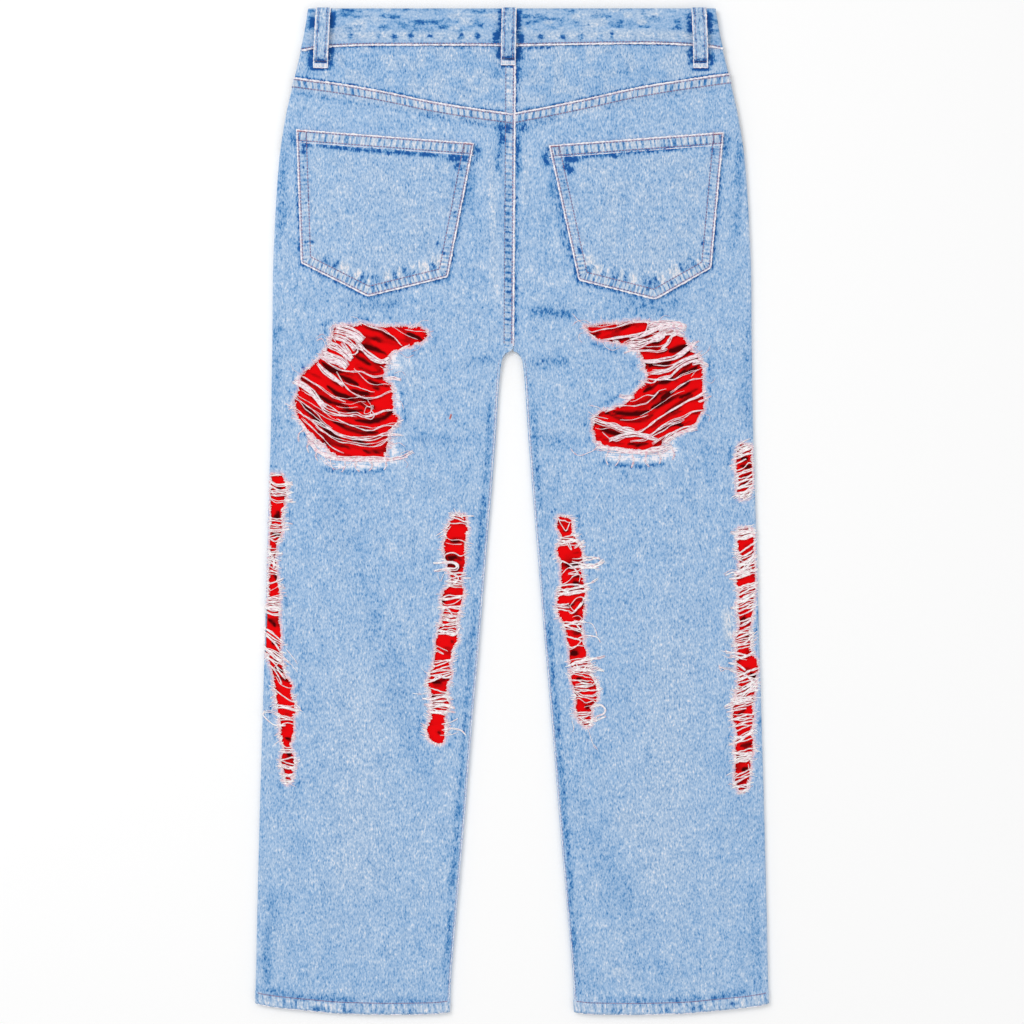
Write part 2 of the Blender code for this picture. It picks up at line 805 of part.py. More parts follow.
def build_back_loops():
    for loop in BACK_LOOPS:
        on_centre = abs(loop.top_across) < FELL_WIDTH

        def place(index, row, loop=loop, on_centre=on_centre):
            share = LOOP_ROWS[row].share
            middle = loop.top_across + (loop.low_across - loop.top_across) * share
            down = LOOP_DOWN + (loop.length - LOOP_DOWN) * share
            on_band = down < seam_line(BAND_LOW, middle) + LOOP_CLEAR
            raised = BAND_RISE if on_band else FELL_RISE * on_centre
            ground = laid_top(middle, down) + raised + PLY_GAP
            height = ground + LOOP_WALL + LOOP_STAND * LOOP_ROWS[row].bow
            return world(middle + (index - 1) * LOOP_WIDTH / 2, down, height)

        cloth_sheet(loop.name, 3, len(LOOP_ROWS), place, LOOP_WALL, "denim_band")


def build_front_loops():
    """The front loops lie pressed flat under the garment."""
    for loop in FRONT_LOOPS:

        def place(index, row, loop=loop):
            share = row / 2
            middle = loop.top_across + (loop.low_across - loop.top_across) * share
            down = front_band_top(middle) + LOOP_DOWN + loop.length * share
            return world(middle + (index - 1) * LOOP_WIDTH / 2, down, 0.0)

        cloth_sheet(loop.name, 3, 3, place, LOOP_WALL, "denim_band", face_up=False)


# ---------------------------------------------------------------- pockets, backing, fly, button
def between(start, end, share):
    across = start.across + (end.across - start.across) * share
    return Corner(across, start.down + (end.down - start.down) * share)


def build_back_pockets():
    columns, rows = 7, 7
    tip_column = 3
    for word, corners in POCKETS.items():
        outer_top, inner_top, inner_low, tip, outer_low = corners

        def place(index, row, corners=corners):
            outer_top, inner_top, inner_low, tip, outer_low = corners
            top = between(outer_top, inner_top, index / (columns - 1))
            if index <= tip_column:
                low = between(outer_low, tip, index / tip_column)
            else:
                low = between(tip, inner_low, (index - tip_column) / (columns - 1 - tip_column))
            depth = math.hypot(low.across - top.across, low.down - top.down)
            hem_end = (POCKET_HEM + STEP) / depth
            share = hem_end + (1 - hem_end) * max(0, row - 2) / (rows - 3)
            if row < 2:
                share = row * POCKET_HEM / depth
            spot = between(top, low, share)
            rise = PLY_GAP + DENIM + (POCKET_HEM_RISE if row < 2 else 0.0)
            return world(spot.across, spot.down, laid_top(spot.across, spot.down) + rise)

        cloth_sheet("back_pocket_" + word, columns, rows, place, DENIM, "denim")


def flat_patch_shape(table, patch, side):
    """Places for a patch that lies in the level part of a back panel."""
    is_thigh = "thigh" in patch.name

    def spot(share, down):
        left, right = read(table, "left", down), read(table, "right", down)
        if is_thigh:
            left, right = min(row.left for row in table), max(row.right for row in table)
        left, right = left - patch.side_margin, right + patch.side_margin
        near = read(OUTLINE, "inner", down) + half_height(down) + STEP
        if side > 0 and not is_thigh:
            left = max(left, near)
        if side < 0 and not is_thigh:
            right = min(right, -near)
        across = left + (right - left) * share
        return across, laid_top(across, down) - DENIM - PLY_GAP

    return spot


def side_patch_place(table, patch, side, index, down):
    """A patch at the side follows the side fold, one layer further in."""
    inset = DENIM + PLY_GAP
    inner_name = "right" if side < 0 else "left"
    start = abs(read(table, inner_name, down)) - patch.side_margin
    radius = half_height(down)
    flat_edge = outer_edge(down) - radius
    if index < 3:
        across = side * (start + (flat_edge - start) * index / 2)
        return across, laid_top(across, down) - inset
    reach, rise = side_fold(TURNS[2], radius, inset)
    return side * (outer_edge(down) - reach), middle_height(down) + rise


def build_backings():
    """Red cloth sewn inside the back panels, one layer under each rip."""
    for patch in PATCHES:
        table = [row for rip in patch.rips for row in RIPS[rip]]
        start = table[0].down - patch.end_margin
        end = table[-1].down + patch.end_margin
        side = -1 if table[0].left < 0 else 1
        at_side = "outer" in patch.name
        columns, rows = (4, 8) if at_side else (4, 6)
        flat_spot = flat_patch_shape(table, patch, side)

        def place(index, row):
            down = start + (end - start) * row / (rows - 1)
            if at_side:
                across, height = side_patch_place(table, patch, side, index, down)
            else:
                across, height = flat_spot(index / (columns - 1), down)
            return world(across, down, height)

        cloth_sheet(patch.name, columns, rows, place, BACKING, "red_cloth")


def build_fly_shield():
    """The strip of denim behind the fly's edge, inside the front."""
    rows = 5

    def place(index, row):
        across = FLY_SEAM + (index - 1) * FLY_SHIELD_WIDTH / 2
        start = front_band_low(across) + SEAM_GAP
        down = start + FLY_SHIELD_LENGTH * row / (rows - 1)
        return world(across, down, laid_bottom(down) + DENIM + PLY_GAP)

    cloth_sheet("fly_shield", 3, rows, place, FLY_SHIELD_WALL, "denim", face_up=False)


def build_button():
    shape = bmesh.new()
    bmesh.ops.create_cone(
        shape,
        cap_ends=True,
        segments=24,
        radius1=BUTTON_RADIUS - 0.0012,
        radius2=BUTTON_RADIUS,
        depth=BUTTON_HEAD * 0.55,
    )
    top = [face for face in shape.faces if face.normal.z > 0.9]
    grown = bmesh.ops.extrude_face_region(shape, geom=top)
    raised = [item for item in grown["geom"] if isinstance(item, bmesh.types.BMVert)]
    bmesh.ops.translate(shape, verts=raised, vec=(0, 0, BUTTON_HEAD * 0.45))
    bmesh.ops.delete(shape, geom=top, context="FACES_ONLY")
    mesh = bpy.data.meshes.new("button")
    shape.to_mesh(mesh)
    shape.free()
    made = add_object("button", mesh, "button_metal")
    made.location = world(0.0, front_band_top(0.0) + BAND_HEIGHT / 2, BUTTON_HEAD * 0.275)


def main():
    for old in list(bpy.data.objects):
        bpy.data.objects.remove(old)
    build_back_panels()
    build_yokes()
    build_back_band()
    build_back_pockets()
    build_back_loops()
    build_backings()
    build_front_panels()
    build_pocket_facings()
    build_front_bands()
    build_front_loops()
    build_fly_shield()
    build_button()


main()
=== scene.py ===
import math
from functools import partial, reduce

import bmesh
import bpy
import numpy as np
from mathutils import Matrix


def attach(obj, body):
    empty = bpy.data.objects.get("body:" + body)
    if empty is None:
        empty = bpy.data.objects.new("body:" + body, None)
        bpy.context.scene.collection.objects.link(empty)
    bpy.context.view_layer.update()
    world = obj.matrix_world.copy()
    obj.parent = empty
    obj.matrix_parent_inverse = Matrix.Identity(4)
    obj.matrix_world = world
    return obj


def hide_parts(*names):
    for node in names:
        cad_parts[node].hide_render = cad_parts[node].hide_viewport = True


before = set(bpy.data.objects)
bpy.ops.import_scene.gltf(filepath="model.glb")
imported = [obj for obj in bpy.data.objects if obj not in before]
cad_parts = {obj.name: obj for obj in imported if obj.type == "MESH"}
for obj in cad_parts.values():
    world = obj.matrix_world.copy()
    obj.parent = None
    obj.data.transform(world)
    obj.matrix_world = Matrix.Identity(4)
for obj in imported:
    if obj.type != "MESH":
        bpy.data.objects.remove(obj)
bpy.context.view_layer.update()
print("frame loaded")

# Lengths are in millimetres until a point is placed. Across is counted from the middle of the
# garment and down from the top of the waistband. Own is across counted outwards on its side,
# measured over the cloth where that turns round a folded edge. Left is -1 and right is 1.
garment = {
    "length": 1006.0,
    "denim": 1.2,  # one layer
    "band": 2.2,  # the waistband, folded double
    "redCloth": 0.8,
    "plyGap": 0.3,
    "halfWaist": 205.5,
    "frontDip": (1.5, 43.0),  # down to the front waistband at the sides, and how much lower its middle is
    "crotch": 342.0,
    "inseamTurn": 55.0,  # below the crotch the inner edge turns down within this length
    "lip": 0.5,  # the last stretch of a folded edge stands straight
    "seamGap": 0.15,  # from the line of a seam to each piece it joins
    # down, half width, half the gap between the legs
    "outline": [
        (0, 202.5, 0), (12, 204.2, 0), (36, 209.0, 0), (72, 217.5, 0), (112, 226.5, 0),
        (152, 232.5, 0), (212, 236.7, 0), (272, 239.0, 0), (342, 239.6, 0), (346, 239.7, 7.0),
        (352, 239.8, 10.0), (364, 240.0, 11.8), (422, 241.0, 15.8), (482, 242.8, 20.3),
        (542, 244.6, 25.3), (632, 247.0, 32.6), (722, 249.7, 40.3), (812, 252.3, 47.5),
        (902, 254.5, 55.2), (972, 256.0, 61.0), (1006, 256.8, 62.5),
    ],
    # down, height of the back's outer face, height of the front's outer face
    "heights": [
        (0, 7.0, 2.8), (60, 7.0, 2.7), (100, 6.7, 2.1), (150, 6.4, 1.1), (200, 6.2, 0.3),
        (240, 6.1, 0.0), (340, 6.0, 0.0), (450, 5.6, 0.0), (600, 5.3, 0.0), (900, 5.3, 0.0),
        (1006, 5.6, 0.0),
    ],
    # across, down on the left, down on the right
    "yokeSeam": [
        (0, 106.5, 106.5), (40, 101.0, 98.8), (85, 93.5, 89.3), (120, 86.0, 81.5),
        (165, 77.8, 73.8), (217, 70.6, 66.4),
    ],
    "bandLow": [
        (0, 38.8, 38.8), (60, 38.2, 37.5), (130, 38.2, 36.6), (185, 39.8, 38.6), (210, 43.8, 41.8),
    ],
    "hemLow": [
        (62, 1003.5, 1003.5), (80, 1005.5, 1005.5), (120, 1006.0, 1006.0), (169, 1005.0, 1005.0),
        (202, 1002.2, 1002.2), (230, 999.5, 999.5), (250, 996.5, 996.5), (257, 994.5, 994.5),
    ],
    "fellWidth": 10.0,
    "fellRise": 0.8,
    "bandRise": 1.0,
}
sides = {"left": -1, "right": 1}
softField = np.random.default_rng(11).random((256, 256))


def ease(t):
    t = np.clip(t, 0.0, 1.0)
    return t * t * (3 - 2 * t)


def most(*fields):
    return reduce(np.maximum, fields)


def follow(rows, column, at):
    # One column of a table, at places between its rows, without overshooting them.
    rows = np.asarray(rows, float)
    keys, values = rows[:, 0], rows[:, column]
    at = np.clip(np.asarray(at, float), keys[0], keys[-1])
    rise = np.diff(values) / np.diff(keys)
    before, after = rise[:-1], rise[1:]
    together = before + after
    slopes = np.concatenate([rise[:1], np.zeros(len(rise) - 1), rise[-1:]])
    same = before * after > 0
    slopes[1:-1][same] = 2 * before[same] * after[same] / together[same]
    i = np.clip(np.searchsorted(keys, at, side="right") - 1, 0, len(keys) - 2)
    span = keys[i + 1] - keys[i]
    t = (at - keys[i]) / span
    return (
        values[i] * (1 + 2 * t) * (1 - t) ** 2
        + values[i + 1] * t * t * (3 - 2 * t)
        + slopes[i] * span * t * (1 - t) ** 2
        - slopes[i + 1] * span * t * t * (1 - t)
    )


def seamDown(name, side, across):
    return follow(garment[name], 1 if side < 0 else 2, np.abs(across))


def bandEdge(across):
    # The lower edge of the waistband, on both sides of the middle.
    return np.where(across < 0, seamDown("bandLow", -1, across), seamDown("bandLow", 1, across))


def outerEdge(down):
    return follow(garment["outline"], 1, down)


def edgeRadius(down):
    # The radius of a turned edge is half the height of the laid garment.
    return (follow(garment["heights"], 1, down) - follow(garment["heights"], 2, down)) / 2


def overSide(down):
    # Own where the back and the front meet at the side, measured over the turned edge.
    return outerEdge(down) + edgeRadius(down) * (math.pi / 2 - 1) + garment["lip"]


def soft(x, y, size, shift=0):
    # A soft random field from 0 to 1 whose bumps are about size across.
    x, y = np.asarray(x, float) / size + 37.3 * shift, np.asarray(y, float) / size + 11.7 * shift
    i, j = np.floor(x).astype(int), np.floor(y).astype(int)
    u, v = ease(x - i), ease(y - j)
    low = softField[i % 256, j % 256] * (1 - u) + softField[(i + 1) % 256, j % 256] * u
    high = softField[i % 256, (j + 1) % 256] * (1 - u) + softField[(i + 1) % 256, (j + 1) % 256] * u
    return low * (1 - v) + high * v


def alongLine(points, step, soften=0):
    # Evenly spaced places on a line, with its corners softened.
    points = np.asarray(points, float)
    marks = np.concatenate([[0], np.cumsum(np.linalg.norm(np.diff(points, axis=0), axis=1))])
    at = np.linspace(0, marks[-1], max(2, int(round(marks[-1] / step)) + 1))
    line = np.stack([np.interp(at, marks, points[:, k]) for k in range(points.shape[1])], 1)
    for _ in range(soften):
        line[1:-1] = (line[:-2] + 2 * line[1:-1] + line[2:]) / 4
    return line


def awayFrom(across, down, line):
    # How far each place is from a line, and how far along the line its nearest point is.
    across, down = np.asarray(across, float), np.asarray(down, float)
    line = np.asarray(line, float)
    gap, way, start = np.full(across.shape, 1e6), np.zeros(across.shape), 0.0
    for (x0, y0), (x1, y1) in zip(line[:-1], line[1:]):
        run = math.hypot(x1 - x0, y1 - y0)
        t = np.clip(((across - x0) * (x1 - x0) + (down - y0) * (y1 - y0)) / run**2, 0, 1)
        here = np.hypot(across - x0 - t * (x1 - x0), down - y0 - t * (y1 - y0))
        closer = here < gap
        gap, way = np.where(closer, here, gap), np.where(closer, start + t * run, way)
        start += run
    return gap, way / max(start, 1e-6)


def sideways(ahead):
    # Unit steps at right angles to each direction.
    ahead = ahead / (np.linalg.norm(ahead, axis=1)[:, None] + 1e-9)
    return np.stack([-ahead[:, 1], ahead[:, 0]], 1)


def within(across, down, outline):
    # Which places are inside a closed outline.
    inside = np.zeros(np.shape(across), bool)
    for (x0, y0), (x1, y1) in zip(outline, np.roll(outline, -1, axis=0)):
        if y0 == y1:
            continue
        crosses = (y0 > down) != (y1 > down)
        inside ^= crosses & (across < x0 + (down - y0) * (x1 - x0) / (y1 - y0))
    return inside


def nearLine(across, down, line, reach):
    # Which places are in the box round a line, or within reach of it.
    low, high = line.min(0) - reach, line.max(0) + reach
    return (across > low[0]) & (across < high[0]) & (down > low[1]) & (down < high[1])


def strokes(across, down, rows, tapered=False):
    # The strongest of some soft strokes at each place. A row is a stroke's strength and half width,
    # then its line, as across and down by turns.
    total = np.zeros(np.shape(across))
    for strength, reach, *line in rows:
        line = np.reshape(line, (-1, 2)).astype(float)
        near = nearLine(across, down, line, reach)
        if len(line) == 1:
            gap = np.hypot(across[near] - line[0, 0], down[near] - line[0, 1])
            fade = 1.0
        else:
            gap, way = awayFrom(across[near], down[near], line)
            fade = 0.35 + 0.65 * ease(np.minimum(way, 1 - way) / 0.15)
            if tapered:
                fade, gap = 1.0, gap / (0.12 + 0.88 * np.sqrt(4 * way * (1 - way)))
        total[near] = np.maximum(total[near], strength * fade * (1 - ease(gap / reach)))
    return total


# Long creases of the laid back: depth at the middle of the crease, half width, and its line, as
# across and down by turns.
creases = {
    -1: [
        (-1.5, 15, -192, 452, -178, 492, -152, 560, -130, 625, -108, 692, -84, 770, -74, 812),
        (0.9, 17, -168, 440, -150, 500, -124, 575, -101, 645, -82, 705),
        (-0.8, 13, -226, 560, -206, 620, -196, 690, -182, 745), (0.7, 16, -232, 625, -214, 690, -203, 762),
        (-0.7, 12, -100, 436, -70, 430, -30, 432), (-0.6, 10, -12, 352, -40, 366, -72, 372),
        (-0.6, 11, -4, 300, -34, 306, -66, 312), (0.7, 15, -120, 845, -150, 862, -196, 866),
        (-0.6, 14, -96, 905, -140, 925, -200, 930), (-0.5, 12, -236, 800, -218, 856, -208, 912),
        (0.5, 14, -60, 480, -58, 540, -66, 585),
    ],
    1: [
        (-1.4, 15, 53, 768, 70, 806, 88, 842, 112, 884, 140, 926, 158, 950),
        (0.9, 17, 75, 760, 96, 806, 122, 850, 150, 892), (-0.8, 13, 232, 560, 206, 600, 186, 650, 176, 690),
        (0.7, 15, 160, 470, 150, 520, 146, 580, 150, 640), (-0.7, 13, 196, 425, 186, 470, 190, 505),
        (-0.7, 12, 23, 432, 52, 430, 84, 438), (-0.6, 10, 12, 352, 36, 366, 66, 370),
        (-0.7, 12, 14, 303, 40, 306, 70, 309), (-0.6, 15, 100, 700, 130, 735, 172, 760),
        (0.6, 15, 190, 820, 206, 870, 210, 930), (-0.5, 12, 240, 836, 224, 880, 218, 930),
        (0.5, 13, 104, 962, 134, 966, 170, 960),
    ],
}


def innerEdge(face, side, down):
    # Own of a panel's inner edge: the centre seam or the fly, and the inseam below the crotch.
    down = np.asarray(down, float)
    if face > 0:
        middle = 3.7 - 2.3 * np.minimum(1, down / garment["crotch"])
    else:
        middle = 4.0 * np.clip((garment["crotch"] - down) / 60, 0, 1)
    gap = np.maximum(follow(garment["outline"], 2, down), 0.3)
    return np.where(down <= garment["crotch"], side * middle + 0.15, gap)


def relief(side, across, down):
    # How far the back stands out of its laid level.
    height = 0.8 * (soft(across, down, 90, 1) - 0.5) + 0.5 * (soft(across, down, 34, 2) - 0.5)
    for depth, reach, *line in creases[side]:
        gap, way = awayFrom(across, down, np.reshape(line, (-1, 2)))
        height = height + depth * np.exp(-((gap / reach) ** 2) * 2) * ease(np.minimum(way, 1 - way) / 0.3)
    beside = np.abs(down - seamDown("yokeSeam", side, across) - 5)
    return height * ease((down - 38) / 30) * (0.35 + 0.65 * ease(beside / 22))


def onCloth(face, side, own, down, lift=0.0, whole=False):
    # A point in metres on the laid garment's back (face 1) or front (face -1). Whole cloth goes on
    # over the middle, with no inner edge.
    own, down = np.broadcast_arrays(np.asarray(own, float), np.asarray(down, float))
    top, bottom = follow(garment["heights"], 1, down), follow(garment["heights"], 2, down)
    radius, middle = (top - bottom) / 2, (top + bottom) / 2
    flatOut = outerEdge(down) - radius
    flatIn = -1e6 if whole else innerEdge(face, side, down) + radius
    way = np.where(own > flatOut, 1, -1)
    past = np.where(own > flatOut, own - flatOut, np.maximum(flatIn - own, 0))
    base = np.clip(own, flatIn, flatOut)
    angle = np.clip(past / radius, 0, math.pi / 2)
    straight = np.clip(past - radius * math.pi / 2, 0, None)
    if face > 0:
        lift = lift + relief(side, side * base, down) * np.cos(angle) ** 2
    seamHalf = garment["lip"] + 0.15
    x = base + way * (radius + lift) * np.sin(angle)
    z = seamHalf + (radius - seamHalf + lift) * np.cos(angle) - straight
    level = (1 - ease((down - garment["crotch"]) / garment["inseamTurn"])) * (own < flatIn)
    share = past / (radius * math.pi / 2 + garment["lip"])
    x = np.where(own < flatIn, x + (flatIn - share * radius - x) * level, x)
    z = z + (radius + lift - z) * level
    return np.stack([side * x, garment["length"] / 2 - down, middle + face * z], -1) / 1000


def onLevel(face, across, down, lift=0.0):
    # The same for places that may lie on both sides of the middle.
    across, down, lift = np.broadcast_arrays(np.asarray(across, float), down, lift)
    left = onCloth(face, -1, np.abs(across), down, lift, whole=True)
    right = onCloth(face, 1, np.abs(across), down, lift, whole=True)
    return np.where((across < 0)[:, None], left, right)


def ownRange(face, side, down, share):
    # Own at a share of the way from a panel's inner edge to its outer one, over the cloth. Each turned
    # edge has the same share of the way, to keep its faces small.
    turned, radius = 0.08, edgeRadius(down)
    turn = radius * (math.pi / 2) + garment["lip"]
    flatIn, flatOut = innerEdge(face, side, down) + radius, outerEdge(down) - radius
    own = flatIn + (flatOut - flatIn) * (share - turned) / (1 - 2 * turned)
    own = np.where(share < turned, flatIn - turn * (turned - share) / turned, own)
    return np.where(share > 1 - turned, flatOut + turn * (share - 1 + turned) / turned, own)


def panelPlan(face, side, guess, upper, lower, u, v):
    # Own and down at shares of a panel's width and depth, between its upper and lower edges.
    down = guess + 0 * u
    for _ in range(5):
        own = ownRange(face, side, down, u)
        across = side * np.clip(own, 0 if face > 0 else -20, outerEdge(down))
        start, end = upper(across), lower(across)
        down = start + (end - start) * v
    return own, down


def readPoints(mesh):
    spots = np.zeros(len(mesh.vertices) * 3)
    mesh.vertices.foreach_get("co", spots)
    return spots.reshape(-1, 3)


def planSheet(columns, rows, place):
    # A grid of cloth drawn flat: x is own, y is minus down. place gets shares of its width and depth.
    cloth = bmesh.new()
    bmesh.ops.create_grid(cloth, x_segments=columns, y_segments=rows, size=1.0)
    mesh = bpy.data.meshes.new("plan")
    cloth.to_mesh(mesh)
    cloth.free()
    spots = readPoints(mesh)
    own, down = place((spots[:, 0] + 1) / 2, (1 - spots[:, 1]) / 2)
    mesh.vertices.foreach_set("co", np.stack([own, -down, np.zeros(len(own))], 1).ravel())
    return mesh


def cutOut(mesh, outlines):
    # Takes upright prisms out of a flat sheet, to leave its holes.
    cutter = bmesh.new()
    for outline in outlines:
        rim = cutter.faces.new([cutter.verts.new((own, -down, -5)) for own, down in outline])
        grown = bmesh.ops.extrude_face_region(cutter, geom=[rim])
        raised = [item for item in grown["geom"] if isinstance(item, bmesh.types.BMVert)]
        bmesh.ops.translate(cutter, verts=raised, vec=(0, 0, 10))
    bmesh.ops.recalc_face_normals(cutter, faces=cutter.faces)
    cutterMesh = bpy.data.meshes.new("cutter")
    cutter.to_mesh(cutterMesh)
    cutter.free()
    tool, work = bpy.data.objects.new("cutter", cutterMesh), bpy.data.objects.new("work", mesh)
    for item in (tool, work):
        bpy.context.scene.collection.objects.link(item)
    hole = work.modifiers.new("holes", "BOOLEAN")
    hole.object, hole.operation, hole.solver = tool, "DIFFERENCE", "FAST"
    ready = bpy.data.meshes.new_from_object(work.evaluated_get(bpy.context.evaluated_depsgraph_get()))
    for item in (tool, work):
        bpy.data.objects.remove(item)
    return ready


def makePiece(name, mesh, materials, replaces=(), wall=None, up=True):
    # Finishes a mesh as a piece of the garment: its wall, materials and body, and hides the parts it replaces.
    shape = bmesh.new()
    shape.from_mesh(mesh)
    if wall and (sum(face.normal.z for face in shape.faces) > 0) != up:
        bmesh.ops.reverse_faces(shape, faces=shape.faces)
    shape.to_mesh(mesh)
    shape.free()
    mesh.shade_smooth()
    mesh.materials.clear()
    for material in materials:
        mesh.materials.append(material)
    piece = bpy.data.objects.new(name, mesh)
    bpy.context.scene.collection.objects.link(piece)
    if wall:
        solid = piece.modifiers.new("wall", "SOLIDIFY")
        solid.thickness, solid.offset = wall / 1000, -1.0
        solid.material_offset = len(materials) - 1
    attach(piece, "root")
    if replaces:
        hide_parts(*replaces)
    return piece


def layCloth(name, mesh, place, marks, materials, replaces, wall, up=True):
    # Puts a flat drawn sheet in its place on the garment, with the marks its material reads. The
    # drawing is the cut that shows: its width, its length and, less any holes, its area.
    spots = readPoints(mesh)
    own, down = spots[:, 0], -spots[:, 1]
    for mark, values in marks(own, down).items():
        layer = mesh.attributes.new(mark, "FLOAT", "POINT")
        layer.data.foreach_set("value", np.broadcast_to(values, own.shape).astype(np.float32))
    mesh.vertices.foreach_set("co", place(own, down).ravel())
    piece = makePiece(name, mesh, materials, replaces, wall, up)


def makeTubes(name, runs, material, roundness=0):
    # Many threads in one mesh. A run is its points in metres and its radius in millimetres there.
    curve = bpy.data.curves.new(name, "CURVE")
    curve.dimensions, curve.bevel_depth = "3D", 0.001
    curve.bevel_resolution, curve.use_fill_caps = roundness, True
    for points, radius in runs:
        # Threads underneath are pressed into the cloth, and stand out by only 0.15 mm.
        points = np.array(points)
        points[:, 2] = np.maximum(points[:, 2], np.max(radius) / 1000 - 0.00015)
        spline = curve.splines.new("POLY")
        spline.points.add(len(points) - 1)
        spline.points.foreach_set("co", np.column_stack([points, np.ones(len(points))]).ravel())
        spline.points.foreach_set("radius", np.broadcast_to(radius, len(points)).astype(float))
    holder = bpy.data.objects.new(name, curve)
    mesh = bpy.data.meshes.new_from_object(holder)
    bpy.data.objects.remove(holder)
    return makePiece(name, mesh, [material])


def linear(code):
    # An sRGB hex colour as linear RGBA.
    parts = [int(code[i : i + 2], 16) / 255 for i in (1, 3, 5)]
    return [p / 12.92 if p <= 0.04045 else ((p + 0.055) / 1.055) ** 2.4 for p in parts] + [1.0]


def addNode(tree, kind, values=None, links=None, out=0, **settings):
    made = tree.nodes.new("ShaderNode" + kind)
    for key, value in settings.items():
        setattr(made, key, value)
    for socket, value in (values or {}).items():
        made.inputs[socket].default_value = value
    for socket, source in (links or {}).items():
        tree.links.new(source, made.inputs[socket])
    return made.outputs[out]


def setRamp(output, stops):
    ramp = output.node.color_ramp
    while len(ramp.elements) < len(stops):
        ramp.elements.new(0.5)
    for element, (place, colour) in zip(ramp.elements, stops):
        element.position, element.color = place, linear(colour)


fullTurn = 6.283


def perMetre(across, along):
    # The scale of a pattern whose spots are so many millimetres across and along the warp.
    return (1000 / across, 1000 / along, 1000 / across)


def newMaterial(name, values):
    made = bpy.data.materials.new(name)
    made.use_nodes = True
    shader = made.node_tree.nodes["Principled BSDF"]
    for socket, value in values.items():
        shader.inputs[socket].default_value = value
    return made, made.node_tree, shader


# Ring-dyed cotton twill, stone-washed and bleached: the indigo is rubbed off the high threads, so
# the eye sees a fuzzy pale blue mottle that runs with the warp, navy hollows and white ridges.
washedIndigo = [
    (0.00, "#0E549F"), (0.14, "#347AB7"), (0.30, "#6D9CCC"), (0.45, "#8FB3DA"), (0.60, "#A5C1E1"),
    (0.74, "#B9D0EA"), (0.88, "#D9E2F0"), (1.00, "#F4EEF4"),
]


